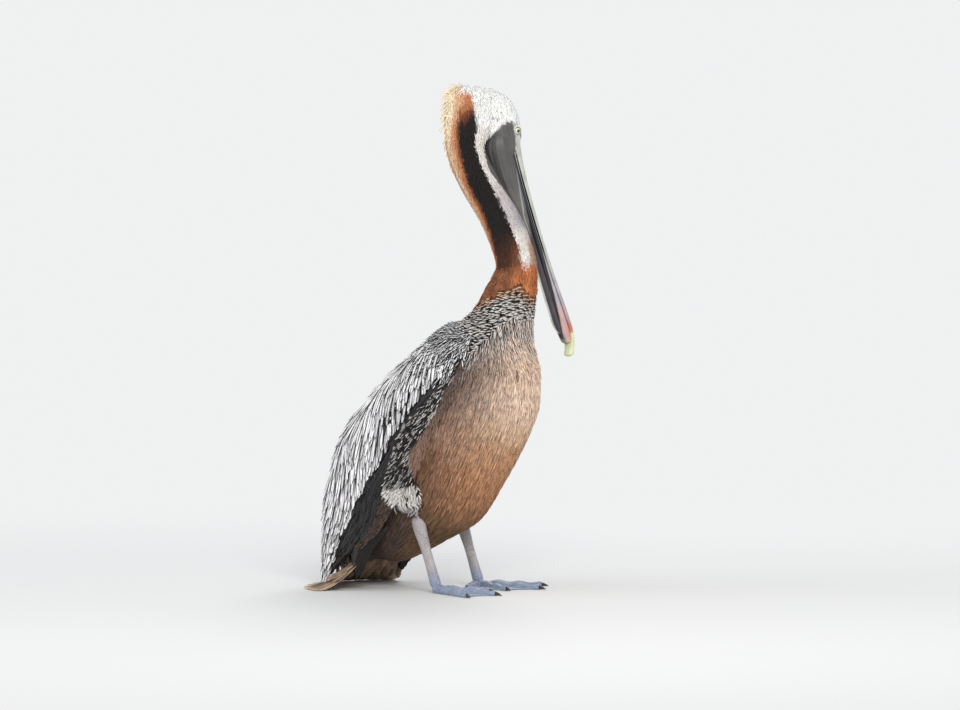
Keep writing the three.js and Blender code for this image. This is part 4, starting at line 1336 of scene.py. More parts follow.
def lay_silver(word, lie, rng):
    """Long feathers that grow longer down the wing and spread out from its ridge."""
    s, t = roots_in_rows(lie, (1.1, 8.35), (0.0, 0.97), 14, 6.0, seed=55, jitter=0.45)
    grow = ease(s / 4)
    length = (24 + 30 * grow) * rng.uniform(0.8, 1.2, len(s))
    swing = 0.8 * ease((t - 0.02) / 0.3) * (1 - 0.75 * ease((s - 3.5) / 4)) + rng.normal(0, 0.05, len(s))
    end_s, end_t = tips(lie, s, t, length, swing)
    limit = np.interp(end_s, *SILVER_BORDER) + rng.uniform(0.0, 0.025, len(s))
    cut = np.where(end_t > limit, (limit - t) / np.maximum(end_t - t, 0.01), 1)
    keep = cut > LEAST_CUT
    s, t, grow, length, swing = (v[keep] for v in (s, t, grow, length * cut, swing))
    tone = vary(SILVER, rng, len(s), 0.2) * (0.72 + 0.28 * ease((t - 0.02) / 0.12))[:, None]
    coat(f"silver_{word}", lie, s, t, tone, flat_tone(INK, s), silver_vane, "plumage_coverts",
         [f"wing_{word}_coverts"], length=length, half_width=3.3 + 1.2 * grow, swing=swing,
         rise=(-0.5, 4.6), shape=(0.4, 0.42), thick=0.4, droop=0.14, stations=8, ring=LARGE_RING, seed=56)


for word, side in SIDES.items():
    rng = np.random.default_rng(50 + side)
    for lay in (lay_flight, lay_small_coverts, lay_shoulder, lay_silver):
        lay(word, wing_lie(side), rng)

# %% [markdown]
# ## Wing tips
# The longest primaries stand free of the bundle and reach down beside the tail. Five flat vanes stacked
# one on another are enough, because they show only as a narrow dark blade.

# %% The tips of the longest primaries
PRIMARIES = np.array(
    [[-88, 67, 88, 15, 4], [-108, 68, 62, 15, 3.5], [-119, 67, 35, 13, 2.8], [-123, 64, 12, 8, 2]]
)
# The five vanes, from one edge of the blade to the other.
PRIMARY_ROOTS = np.array([-0.35, -0.25, -0.3, -0.35, -0.45])
PRIMARY_ACROSS = np.array([-0.62, -0.3, 0.0, 0.3, 0.58])
PRIMARY_LIFTS = np.array([1.6, 0.8, 0, -0.8, -1.6])
PRIMARY_LENGTHS, PRIMARY_SWINGS = [88, 96, 99, 94, 84], [0.03, 0.02, 0, -0.02, -0.03]


def primary_sheet(side, u, a):
    """A flat blade: the middle line through the rows, moved across by a times the half width."""
    u, a = floats(u, a)
    row = along(PRIMARIES, u)
    axis = unit((PRIMARIES[-1, :3] - PRIMARIES[0, :3]) * [1, side, 1])
    out = unit(side * LEFT - axis * side * axis[1])
    up = np.cross(axis, out)
    return row[..., :3] * [1, side, 1] + up * (a * row[..., 3])[..., None]


for word, side in SIDES.items():
    lie = Lie(lambda u, a, side=side: primary_sheet(side, u, a), way=1, chart=((0, 4), (-1, 1)))
    tone = flat_tone(paint(42, 38, 37), PRIMARY_ACROSS)
    coat(f"primaries_{word}", lie, PRIMARY_ROOTS, PRIMARY_ACROSS, tone, tone * 1.6, dark_vane,
         "plumage_flight", [f"wing_{word}_primaries"], length=PRIMARY_LENGTHS, half_width=6.5,
         swing=PRIMARY_SWINGS, rise=(PRIMARY_LIFTS, PRIMARY_LIFTS), shape=(0.2, 0.25), thick=0.5,
         droop=0.05, stations=12, ring=LARGE_RING, seed=61)

# %% [markdown]
# ## The tail
# Twelve stiff feathers spread from the rump like a hand of cards. They lie on one another from the
# middle outwards, with pale shafts and tips, and shorter brown coverts cover their roots.

# %% Tail feathers
TAIL_ROOT = np.array([-92, 0, 92])
TAIL_CHART = ((0, 1.1), (-1, 1))
TAIL_FEATHERS, TAIL_SPREAD = 12, np.radians(52)
TAIL_RUN, TAIL_RUN_OUTER, TAIL_ROOT_HALF, TAIL_FLAT, TAIL_BEND = 132, 112, 26, 0.9, 1.5


def tail_sheet(f, share, lift=0.0):
    """Lines fanned from the rump: f along each, bending down to lie flat, and share across the fan."""
    f, share = floats(f, share)
    angle = share * TAIL_SPREAD
    run = (TAIL_RUN + (TAIL_RUN_OUTER - TAIL_RUN) * share**2) * f
    drop = np.maximum(0, 1 - f / TAIL_FLAT) ** TAIL_BEND
    back, aside = TAIL_ROOT[0] - np.cos(angle) * run, share * TAIL_ROOT_HALF + np.sin(angle) * run
    return np.stack([back, aside, TAIL_ROOT[2] * drop + lift], axis=-1)


tail_lie = Lie(lambda f, share: tail_sheet(f, share, 1.5), way=1, facing=-1, chart=TAIL_CHART)
a = (np.arange(TAIL_FEATHERS) + 0.5) / TAIL_FEATHERS * 2 - 1
a = a * 0.97  # a little inside the fan's edges
u = np.full(TAIL_FEATHERS, 0.03)
reach = lengths(tail_lie.frame(u, a)[0]) * 0.965
order = (1 - np.abs(a)) * 1.6 - 0.9  # the middle feathers lie on top
tail_vane = plumage("tail_vanes", edge=(0.6, 1.0), tip_from=0.86, barbs=40, roughness=0.6, bump=0.5,
                    mottle=0.35, shaft_light=0.6)
# The middle feathers are painted dark brown as painted shade between the fan's halves, and the outer ones
# pale.
tone = blend(ease(np.abs(a) * 1.8 - 0.7), paint(90, 74, 62), paint(178, 152, 128))
coat("tail_feathers", tail_lie, u, a, tone, flat_tone(paint(214, 190, 164), a), tail_vane,
     "plumage_tail", ["tail"], length=reach, half_width=12.5, rise=(order + 0.4, order),
     shape=(0.35, 0.14), thick=0.5, droop=0.0, stations=16, ring=LARGE_RING, seed=71)

# %% [markdown]
# ## Tail coverts
# A tail fan with bare roots would look stuck on. Rows of short brown feathers run from the rump over
# and under it, and the same roots serve for both faces.

# %% Coverts over and under the tail's root
u, a = roots_in_rows(tail_lie, (0.02, 0.55), (-1, 1), 11, 6, seed=72)
rng = np.random.default_rng(73)
tone = vary(blend(ease((u - 0.1) / 0.4), RUMP, paint(150, 126, 106)), rng, len(u), 0.15)
for word, facing in (("over", -1), ("under", 1)):
    lie = Lie(lambda f, share, lift=2.0 - 1.5 * facing: tail_sheet(f, share, lift), way=1, facing=facing,
              chart=TAIL_CHART)
    coat(f"tail_coverts_{word}", lie, u, a, tone, tone * 1.5, breast_vane, "plumage_tail", rng=rng,
         length=(26, 36), half_width=4.2, ruffle=0.08, rise=(0.2, 2.6), shape=(0.45, 0.45), seed=74)

# %% [markdown]
# ## Thighs
# Loose whitish feathers cover the thigh, flecked with dark towards the flank, and end in a ragged cuff
# above the bare leg.

# %% Thigh feathers
THIGH_DEPTH = 4
CUFF_HEIGHT, CUFF_FROM = 124, -54  # the cuff's edge rises backwards from this x
LEG_PALE = paint(184, 176, 178)
fluffy = plumage("thigh_fluff", edge=(0.4, 1.0), tip_from=0.7, barbs=8, roughness=0.9, mottle=0.3)
for word, side in SIDES.items():
    rows = thigh_rows(side)
    lie = Lie(lambda u, a, rows=rows: limb_sheet(rows, 5, u, a, THIGH_DEPTH), way=1,
              chart=((-1, 3), (0, FULL_TURN)))
    u, a = roots_in_rows(lie, (-0.6, 2.98), (0, FULL_TURN), 4.2, 3.0, seed=81)
    rng = np.random.default_rng(82)
    x, _, z = np.moveaxis(lie.sheet(u, a), -1, 0)
    below = z + rng.normal(0, 1.5, len(u)) < CUFF_HEIGHT + np.maximum(CUFF_FROM - x, 0)
    bare = below & (x > CUFF_FROM)
    all_roots.append((metres(lie.sheet(u[bare], a[bare])), flat_tone(LEG_PALE, u[bare])))
    keep = ~buried(metres(limb_sheet(rows, 5, u, a)), "trunk", slack=2) & ~covered(lie, u, a, 5, *WINGS)
    keep &= ~bare & (u < 1.9)
    u, a, below = u[keep], a[keep], below[keep]
    dark = rng.random((len(u), 1)) < (0.05 + 0.35 * ease((0.2 - u) / 0.5))[:, None]
    # Behind the leg below the cuff the feathers take the rump's dark brown, partly their colour and partly
    # painted shade.
    tone = np.where(dark, MOTTLE_DARK, np.where(below[:, None], RUMP, THIGH_PALE))
    length, swing = rng.uniform(8, 13, len(u)), rng.normal(0, 0.5, len(u))
    tone = vary(tone, rng, len(u), 0.1)
    coat(f"coat_thigh_{word}", lie, u, a, tone, tone * 0.92, fluffy, "plumage_body", length=length,
         half_width=1.4, swing=swing, rise=(-0.5, 5.0), shape=(0.4, 0.8), thick=0.3, droop=0.2, seed=83)

# %% [markdown]
# ## One skin
# Under the coat lies one skin with no seam. The simplest way to join many tubes is a voxel remesh: the
# closed tubes are put into one mesh, which is then rebuilt as a single surface and smoothed. The legs
# are made in the same way further on.

# %% Closed shapes joined into one surface
def joined(parts):
    """Points and faces of several closed shapes as one list."""
    points, faces, start = [], [], 0
    for part_points, part_faces in parts:
        points.append(part_points)
        faces += [[start + i for i in face] for face in part_faces]
        start += len(part_points)
    return np.concatenate(points), faces


def remeshed(points, faces, voxel, rounds):
    """One closed surface over several overlapping closed shapes, built of cubes of a size in metres and
    smoothed for some rounds, as points and face array."""
    mesh = bpy.data.meshes.new("work")
    mesh.from_pydata(metres(points).tolist(), [], faces)
    turn_outwards(mesh)
    holder = new_object("work", mesh)
    remesh = holder.modifiers.new("remesh", "REMESH")
    remesh.mode, remesh.voxel_size = "VOXEL", voxel
    soften = holder.modifiers.new("soften", "SMOOTH")
    soften.factor, soften.iterations = 0.5, rounds
    done = bpy.data.meshes.new_from_object(holder.evaluated_get(bpy.context.evaluated_depsgraph_get()))
    co, quads = np.empty(len(done.vertices) * 3), np.empty(len(done.polygons) * 4, np.int32)
    done.vertices.foreach_get("co", co)
    done.loops.foreach_get("vertex_index", quads)
    bpy.data.objects.remove(holder)
    return co.reshape(-1, 3), quads.reshape(-1, 4)


# %% The skin's surface
HEAD_SKIN_DEPTH, THIGH_SKIN_DEPTH, WING_SKIN_DEPTH = 2.6, THIGH_DEPTH + 0.5, WING_DEPTH + 0.4


def skin_depth(u):
    """How deep the skin lies inside the body's outline."""
    return 3.2 + 0.6 * (1 - ease((u - 9) / 4))


parts = [
    closed_tube(lambda u, a: body_sheet(u, a, skin_depth(u)), np.linspace(-0.97, 18.97, 90), 56),
    closed_tube(lambda u, a: head_sheet(u, a, HEAD_SKIN_DEPTH), np.linspace(-0.97, 6.97, 40), 48),
]
for side in SIDES.values():
    rows = thigh_rows(side)
    stations = np.linspace(-0.97, 2.9, 24)
    parts.append(closed_tube(lambda u, a: limb_sheet(rows, 5, u, a, THIGH_SKIN_DEPTH), stations, 32))
    s, t = np.linspace(0.1, 7.6, 40)[:, None], np.linspace(0.0, 0.985, 24)[None, :]
    outer = wing_sheet(side, s, t, WING_SKIN_DEPTH)
    inner = wing_sheet(side, s, t[:, ::-1], 0, inner=True)
    ring = np.concatenate([outer, inner], axis=1)
    parts.append((ring.reshape(-1, 3), tube_faces(len(ring), ring.shape[1])))
skin_points, skin_faces = remeshed(*joined(parts), voxel=0.0026, rounds=6)
print("skin:", len(skin_points), "points")

# %% [markdown]
# ## Bare skin and the skin's colours
# The throat is bare and dark grey, with creases that are painted lighter and darker as light and shade, and
# pale skin rings the eye. Where the skin is bare it has roots of its own that carry these colours. Each point
# of the skin then takes the colour of the nearest root, darker as painted shade in the gaps of the coat, so
# no gap in the coat shines, and no border has to be drawn twice.

# %% Colours of the skin
BARE_GREY, FACE_PALE = paint(104, 102, 101), paint(208, 212, 202)
u, a = roots_in_rows(neck_lie, (13.8, 18.9), (np.radians(105), np.radians(255)), 3, 3, seed=91)
bare = degrees_from_back(a) > np.interp(u, *THROAT_BORDER)
all_roots.append((metres(body_sheet(u, a, 3))[bare], flat_tone(BARE_GREY, u[bare])))
u, a = roots_in_rows(head_lie, (2.8, 6.8), (0, FULL_TURN), 2, 2, seed=92)
bare = bare_face(u, a) | near_eye(u, a, 8)
d = degrees_from_back(a)
# The face's folds are painted as lighter and darker bands: painted light and shade, since the skin there is
# smooth.
folds = np.sin(0.19 * d + 2.1 * np.sin(1.3 * u)) * np.sin(0.31 * d - 0.9 * u)
fold_light_and_shade = BARE_GREY * (1 + 0.22 * folds)[:, None]
face_tone = blend(ease((d - 74) / 4), FACE_PALE, fold_light_and_shade)
face_tone = blend(0.5 * bell(d - 66, 2.5), face_tone, BARE_GREY)
all_roots.append((metres(head_sheet(u, a, HEAD_SKIN_DEPTH))[bare], face_tone[bare]))
places, tones = (np.concatenate([r[k] for r in all_roots]) for k in (0, 1))
search = KDTree(len(places))
for index, place in enumerate(places):
    search.insert(place, index)
search.balance()
nearest = np.array([search.find(p)[1] for p in skin_points])
# Darker than the roots everywhere: painted shade for the gaps between feathers.
skin_tone_shaded = tones[nearest] * (0.78 + 0.2 * tones[nearest].mean(axis=1, keepdims=True))
print("colours from", len(places), "roots")


# %% Material of skin and horn
def living_skin(name, gloss, fine=900, bump=0.4, mottle=0.3):
    """Painted Tone under the mottling group, with the grain group as relief."""
    material, tree, shader = new_material(name, gloss)
    links = {"Colour": attribute(tree, "Tone"), "Scale": 60, "Detail": 4, "Depth": mottle}
    mottled = put(tree, "ShaderNodeGroup", links, node_tree=mottle_tree).outputs["Colour"]
    grain = put(tree, "ShaderNodeGroup", {"Scale": fine}, node_tree=grain_tree).outputs["Height"]
    surface(tree, shader, mottled, {"Height": grain, "Strength": bump, "Distance": 0.0005})
    return material


under_skin = living_skin("under_skin", {"Roughness": 0.8})
flesh = ["trunk", "neck_lower", "neck_upper", "head", "thigh_right", "thigh_left"]
piece("skin", skin_points, skin_faces, under_skin, flesh, {"Tone": skin_tone_shaded})

# %% [markdown]
# ## The bill
# A pelican's bill is two long straight horn halves. The upper one has a raised ridge with a groove on
# each side and ends in a hooked nail. Egg sections carried along the bill's axis give its form, and
# the ridge and grooves are small swellings and dips in the section's own radius.

# %% The bill's middle line and rings
ROD_ANGLE = np.radians(130)  # where the lower half's rods lie, round from the top


def bill_bow(ahead):
    """How far the bill's middle line bows towards the throat."""
    return -BILL_SAG * np.sin(np.pi * np.clip(ahead / BILL_LENGTH, 0, 1))


def nail(ahead):
    """How far on the nail a place lies, from 0 where it begins to 1 at its tip, growing ever faster."""
    return np.clip((ahead - HOOK_FROM) / (BILL_LENGTH - HOOK_FROM), 0, 1) ** 2


def bill_rings(stations, last, count):
    """Stations as a column, the angle of the small dome that closes them, and angles round as a row."""
    u = np.concatenate([np.linspace(0, last, stations), last + np.linspace(0, 1, 9)[1:] * 0.98])[:, None]
    return np.minimum(u, last), np.clip(u - last, 0, 1) * np.pi / 2, around(count)[None, :]


def placed(points, ahead, d):
    """Rings of points, with the share of the bill's length and the degrees from the top at each."""
    shape = points.shape[:2]
    return points, np.broadcast_to(ahead / BILL_LENGTH, shape), np.broadcast_to(np.degrees(d), shape)


print("the bill bows by", BILL_SAG, "mm")


# %% The two halves of the bill
def upper_bill(stations=120, count=64):
    """Egg sections with a ridge on top and a groove on each side of it, down to the hooked nail."""
    u, over, angle = bill_rings(stations, len(BILL) - 1, count)
    ahead, tall, _, wide = np.moveaxis(along(BILL, u), -1, 0)
    d = from_top(angle)
    body = ease((ahead - 20) / 40) * (1 - ease((ahead - 285) / 30))
    relief = 1 + body * (0.10 * bell(d, 0.2) - 0.14 * bell(d - 0.62, 0.17))
    centre = head_place(ahead + 5 * np.sin(over), bill_bow(ahead) - HOOK_DROP * nail(ahead) + BILL_GAPE)
    top, bottom, half = (x * np.cos(over) for x in (tall - BILL_GAPE, 1 + NAIL_DEPTH * nail(ahead), wide))
    points = egg(centre, CROWN_WAY, HEAD_LEFT, top * relief, bottom * relief, half * relief, angle)
    return placed(points, ahead, d)


def lower_bill(stations=110, count=56):
    """The lower half: two slender rods of horn, one at each lower corner, with a hollow between them."""
    u, over, angle = bill_rings(stations, len(BILL) - 2, count)
    ahead, _, deep, wide = np.moveaxis(along(BILL, u), -1, 0)
    centre = head_place(ahead + 8 * np.sin(over), bill_bow(ahead) - 1)
    d = from_top(angle)
    relief = 1 + 0.16 * bell(d - ROD_ANGLE, 0.3) - 0.22 * bell(d - np.pi, 0.4)
    top, bottom, half = (x * np.cos(over) for x in (np.full_like(deep, 0.6), deep - 1, wide - 0.6))
    points = egg(centre, CROWN_WAY, HEAD_LEFT, top, bottom * relief, half * relief, angle)
    return placed(points, ahead, d)


print("the nail begins at", HOOK_FROM, "mm")

# %% [markdown]
# ## The bill's colours
# The ridge is pale, the groove beside it dark, and the side pale again, with pink and orange towards the
# nail. The lower half is black over its pale rods: the black band is partly the horn's colour and partly
# painted shade in the gap between the halves, and a lighter lilac line in it is a painted sheen. All this
# follows two numbers, how far along a place lies and how far round, so the colours are worked out at the
# points and need no picture.

# %% Bill
# Share of the bill's length, and how far round from the top the pale side ends there: it hangs over
# the dark lower half ever further towards the nail.
PALE_END = ([0, 0.3, 0.52, 0.7, 0.84, 0.92], [98, 91, 92, 110, 128, 148])
HORN_PALE, HORN_RIDGE, HORN_NAIL = paint(190, 194, 184), paint(216, 218, 196), paint(236, 240, 196)
HORN_DARK, HORN_SHEEN_PAINTED, HORN_ROD = paint(27, 26, 30), paint(120, 118, 130), paint(158, 154, 170)
HORN_LILAC, HORN_PINK, HORN_ORANGE = paint(184, 177, 184), paint(196, 164, 162), paint(216, 120, 84)


def horn_tone(share, d):
    """Pale ridge, dark groove, pale side, black band with a lighter painted sheen line in it, and pale rod,
    from the top round to below. The black band is partly painted shade in the gap between the halves. Near
    the nail the side turns pink and then orange."""
    side = blend(ease((share - 0.45) / 0.3), HORN_PALE, HORN_LILAC)
    side = blend(ease((share - 0.76) / 0.07), side, HORN_PINK)
    side = blend(ease((share - 0.85) / 0.04) * bell(d - 74, 24), side, HORN_ORANGE)
    tone = blend(ease((d - 40) / 8), HORN_RIDGE, side)
    tone = blend((0.35 + 0.5 * ease((share - 0.6) / 0.15)) * bell(d - 49, 5), tone, HORN_DARK * 2)
    end = np.interp(share, *PALE_END)
    # The black band below the pale side, partly painted shade in the gap between the halves.
    tone = blend(ease((d - end + 4) / 8), tone, HORN_DARK)
    # A lighter lilac line inside the black band: a painted sheen.
    tone = blend(0.35 * bell(d - end - 18, 6), tone, HORN_SHEEN_PAINTED)
    return blend(0.75 * ease((d - np.maximum(end + 36, 150)) / 8), tone, HORN_ROD)


horn_gloss = {"Roughness": 0.45, "Specular IOR Level": 0.2}
horn = living_skin("bill_horn", horn_gloss, fine=500, bump=0.12, mottle=0.25)
rings, share, d = upper_bill()
tone = blend(ease((share - 0.905) / 0.02), horn_tone(share, np.minimum(d, 96)), HORN_NAIL)
ringed_piece("bill_upper_horn", rings, tone, horn, "bill_horn", ["bill_upper"])
rings, share, d = lower_bill()
tone = blend(ease((share - 0.925) / 0.03), horn_tone(share, np.maximum(d, 88)), HORN_NAIL * 0.8)
ringed_piece("bill_lower_horn", rings, tone, horn, "bill_horn", ["bill_lower"])

# %% [markdown]
# ## The pouch
# The pouch is a bag of thin elastic skin. Folded up, it gathers in long pleats that run from the throat
# towards the bill's tip, so the pleats are waves in the section's radius that wander a little.

# %% The pouch's shape
def pouch_surface(stations=150, count=120):
    """Egg sections under the lower half of the bill, pleated lengthwise by waves of the radius. Gives
    them with how far ahead each point lies, how high on a pleat, and the degrees from the top."""
    last = len(POUCH) - 1
    start, end = -np.linspace(0.98, 0, 10)[:-1], last + np.linspace(0, 0.98, 12)[1:]
    u = np.concatenate([start, np.linspace(0, last, stations), end])[:, None]
    angle = around(count)[None, :]
    ahead, reach, wide = np.moveaxis(along(POUCH, np.clip(u, 0, last)), -1, 0)
    over = np.clip(u - last, 0, 1) * np.pi / 2 + np.clip(-u, 0, 1) * np.pi / 2
    ahead = ahead + np.where(u > last, 20, -8) * np.sin(over)
    pleat = 0.6 * np.sin(11 * angle + 1.5 * np.sin(ahead / 31)) + 0.4 * np.sin(23 * angle + ahead / 17)
    below = ease((0.75 - np.cos(angle)) / 0.8)
    radius = (1 + 0.035 * pleat * below) * np.cos(over)
    centre = head_place(ahead, bill_bow(ahead) - reach / 2)
    points = egg(centre, CROWN_WAY, HEAD_LEFT, reach / 2 * radius, reach / 2 * radius, wide * radius, angle)
    d = np.broadcast_to(np.degrees(from_top(angle)), pleat.shape)
    return points, np.broadcast_to(ahead, pleat.shape), pleat * below, d


print("pouch:", POUCH[-1, 0] - POUCH[0, 0], "mm long")

# %% Pouch
POUCH_GREY, POUCH_LIGHT, POUCH_ROD = paint(86, 84, 83), paint(106, 104, 101), paint(196, 200, 196)
POUCH_UNDER, POUCH_EDGE = paint(74, 70, 76), paint(222, 226, 216)
ROD_PATH = ([50, 98, 128, 150], [40, 80, 116, 124])  # how far ahead, and the degrees where a rod shows
pouch_leather = living_skin("pouch_leather", {"Roughness": 0.5}, fine=420, bump=0.5, mottle=0.25)
rings, ahead, pleat, d = pouch_surface()
lighter = ease((ahead - 62) / 30) * (1 - ease((ahead - 125) / 20))
tone = blend(lighter, POUCH_GREY, POUCH_LIGHT)
tone = blend(ease((ahead - 106) / 8) * ease((d - 128) / 16), tone, THROAT_DOWN)
rod = bell(d - np.interp(ahead, *ROD_PATH), 4)
tone = blend(0.8 * rod * ease((ahead - 30) / 20), tone, POUCH_ROD)
far_edge = blend(ease((d - 158) / 8), POUCH_UNDER, POUCH_EDGE)
tone = blend(ease((ahead - 140) / 20), tone, far_edge)
# Painted light and shade on the pleats: lighter on their crests, darker in the troughs between them.
tone = tone * (1 + 0.06 * pleat)[..., None]
ringed_piece("pouch_pleats", rings, tone, pouch_leather, "pouch_skin", ["pouch"])

# %% [markdown]
# ## Eyes and lids
# The eye is a wet ball with a clear bulge over its iris. Lids are folds of skin that lie on the ball and
# leave an almond opening. Each lid ring is a closed band: round the eye one way, and from its inner
# rim over the ball and back underneath the other way.

# %% The eye's own directions
EYE_OPENING = 0.66  # half the opening, as an angle at the ball's middle
PUPIL, IRIS_END = 0.31, 0.6  # the same for the pupil and the iris
LID_END = 1.42  # and for the lids' outer border


def eye_axes(side):
    """The eye's own axes: out of the ball, towards the bill, and towards the crown."""
    out = unit(side * HEAD_LEFT + 0.22 * BILL_WAY + 0.08 * CROWN_WAY)
    ahead = unit(BILL_WAY - out * (out @ BILL_WAY))
    return out, ahead, np.cross(ahead, out) * np.sign(np.cross(ahead, out) @ CROWN_WAY)


def on_ball(side, polar, turn, radius):
    """A point at an angle from the eye's axis, turned round it, at a radius from the ball's middle."""
    out, ahead, up = eye_axes(side)
    middle = head_place(EYE_AHEAD, EYE_UP, side * EYE_OUT)
    aside = np.cos(turn)[..., None] * ahead + np.sin(turn)[..., None] * up
    return middle + radius[..., None] * (np.cos(polar)[..., None] * out + np.sin(polar)[..., None] * aside)


print("right eye looks to", np.round(eye_axes(-1)[0], 2))

# %% Eyeballs and lids
IRIS_PALE, IRIS_RAY, IRIS_RIM, PUPIL_BLACK = (
    paint(228, 224, 202), paint(188, 180, 148), paint(96, 84, 74), paint(8, 8, 9)
)
LID_RIM = paint(150, 144, 136)
BALL_RINGS, BALL_COUNT, LID_RINGS, LID_COUNT = 60, 48, 72, 28


def eyeball(side):
    """Rings round the eye's axis, bulged over the iris, with the colours of pupil, iris and rim."""
    polar, turn = np.meshgrid(np.linspace(0.02, 3.1, BALL_RINGS), around(BALL_COUNT), indexing="ij")
    ray = 0.5 + 0.5 * np.sin(turn * 23 + 2 * np.sin(turn * 7))
    iris = blend(ray * 0.5, IRIS_PALE, IRIS_RAY)
    tone = blend(ease((polar - PUPIL) / 0.03), PUPIL_BLACK, iris)
    tone = blend(ease((polar - IRIS_END) / 0.05), tone, IRIS_RIM)
    return on_ball(side, polar, turn, EYE_RADIUS - 0.5 + 0.5 * bell(polar, 0.45)), tone


def eyelids(side):
    """A closed band round the eye. Across it, an angle runs over the ball from the lids' border to
    their rim and back underneath. The rim is an oval, and small folds follow it."""
    turn, across = np.meshgrid(around(LID_RINGS), around(LID_COUNT), indexing="ij")
    rim = EYE_OPENING * (1 + 0.13 * np.cos(2 * turn) - 0.09 * np.sin(turn))
    polar = (LID_END + rim) / 2 + (LID_END - rim) / 2 * -np.cos(across)
    fold = 0.18 * np.sin((polar - rim) * 16) * ease((polar - rim) / 0.15) * (1 - ease((polar - 1.2) / 0.2))
    thick = 0.55 + 0.35 * bell(polar - rim, 0.12)
    radius = EYE_RADIUS + 0.15 + thick * np.sin(across) + fold * (np.sin(across) > 0)
    tone = blend(bell(polar - rim, 0.05), FACE_PALE, LID_RIM)
    return on_ball(side, polar, turn, radius), tone


wet = {"Roughness": 0.12, "Coat Weight": 1.0, "Coat Roughness": 0.03}
eye_gloss = living_skin("eye_gloss", wet, fine=300, bump=0.0, mottle=0.1)
lid_skin = living_skin("lid_skin", {"Roughness": 0.55}, fine=1200, bump=0.5, mottle=0.2)
for word, side in SIDES.items():
    ringed_piece(f"eyeball_{word}", *eyeball(side), eye_gloss, "eye", [f"eye_{word}"])
    rings, tone = eyelids(side)
    piece(f"eyelids_{word}", metres(rings), ring_quads(LID_RINGS, LID_COUNT, closed=True), lid_skin,
          (), {"Tone": tone.reshape(-1, 3)}, recalc=True)

# %% [markdown]
# ## Legs and feet
# All four toes of a pelican are joined by webs. Toes, webs and leg are made as simple tubes and wedges
# and rebuilt as one surface, as the skin was, so the web runs smoothly into the toes. The soles are
# then pressed flat on the floor.

# %% Toes
# For each toe, the degrees to the inside of straight ahead, and its length.
TOES = {"outer": (-33, 90), "middle": (-2, 96), "inner": (29, 74), "hind": (82, 44)}
TOE_RADIUS, TOE_TIP_RADIUS, TOE_KNUCKLE = 6.5, 4, 0.12
WEB_THICK, WEB_REACH, WEB_HOLLOW = 2.6, 0.96, 0.09
CLAW_LENGTH, CLAW_RADIUS, CLAW_RINGS, CLAW_COUNT = 11, 3.0, 22, 18


def toe_way(side, degrees):
    """The way that a toe points, to the inside of straight ahead."""
    return np.array([np.cos(np.radians(degrees)), -side * np.sin(np.radians(degrees)), 0])


def foot_root(side):
    """The place on the floor below the ankle, where the toes meet."""
    return np.array([ANKLE[0] + side * STEP_AHEAD, side * STANCE, 0.0])


def toe_tube(side, degrees, length, stations=40, count=20):
    """A knuckled tube along the floor that tapers to the claw."""
    f = np.linspace(-0.04, 1, stations)[:, None]
    radius = (TOE_RADIUS + (TOE_TIP_RADIUS - TOE_RADIUS) * f) * (1 + TOE_KNUCKLE * np.cos(f * 6 * np.pi))
    radius = radius * np.where(f < 0, 0.6, 1) - 0.3
    way = toe_way(side, degrees)
    centre = foot_root(side) + way * (f * length)[..., None] + UP * (radius * 0.8)[..., None]
    points = egg(centre, UP, np.cross(UP, way), radius, radius, radius, around(count)[None, :])
    return points.reshape(-1, 3), tube_faces(stations, count)


print("toes:", ", ".join(TOES))


# %% Webs and claws
def web_wedge(side, toe_a, toe_b, stations=48, rows=44):
    """A thin wedge between two toes, with a hollow front edge, a ruffled top and a level underside."""
    root = foot_root(side)
    a, b = (toe_way(side, d) * length * WEB_REACH for d, length in (toe_a, toe_b))
    f, g = np.meshgrid(np.linspace(0, 1, stations), np.linspace(0.04, 1, rows), indexing="ij")
    share = g * (1 - WEB_HOLLOW * np.sin(np.pi * f))
    reach = (a * (1 - f[..., None]) + b * f[..., None]) * share[..., None]
    ruffle = np.sin(g * 21 + 3 * np.sin(f * 5) + f * 4) * 0.45 + np.sin(f * 17 + g * 4) * 0.35
    top = root + reach + UP * (WEB_THICK - 0.2 + ruffle * np.sin(np.pi * f) * g)[..., None]
    ring = np.concatenate([root + reach, top[:, ::-1]], axis=1)
    return ring.reshape(-1, 3), tube_faces(stations, 2 * rows)


def claw(side, degrees, length):
    """A cone that bends down to the floor from the end of its toe."""
    way = toe_way(side, degrees)
    f = np.linspace(0, 1, CLAW_RINGS)[:, None]
    radius = CLAW_RADIUS * (1 - 0.85 * f**1.5)
    height = np.maximum(3.4 - 2.3 * f * f, radius)
    centre = foot_root(side) + way * (length - 1 + f * CLAW_LENGTH)[..., None] + UP * height[..., None]
    angle = around(CLAW_COUNT)[None, :]
    rings = egg(centre, UP, np.cross(UP, way), radius, radius, radius * 0.75, angle)
    return rings.reshape(-1, 3), tube_faces(CLAW_RINGS, CLAW_COUNT)


print("claws:", CLAW_LENGTH, "mm long")

# %% [markdown]
# ## Scales
# Legs and webs are covered with small horny plates. Modelled one by one they would be thousands of
# pieces a millimetre wide, so here relief in the material is enough: cells with dark sunken seams.

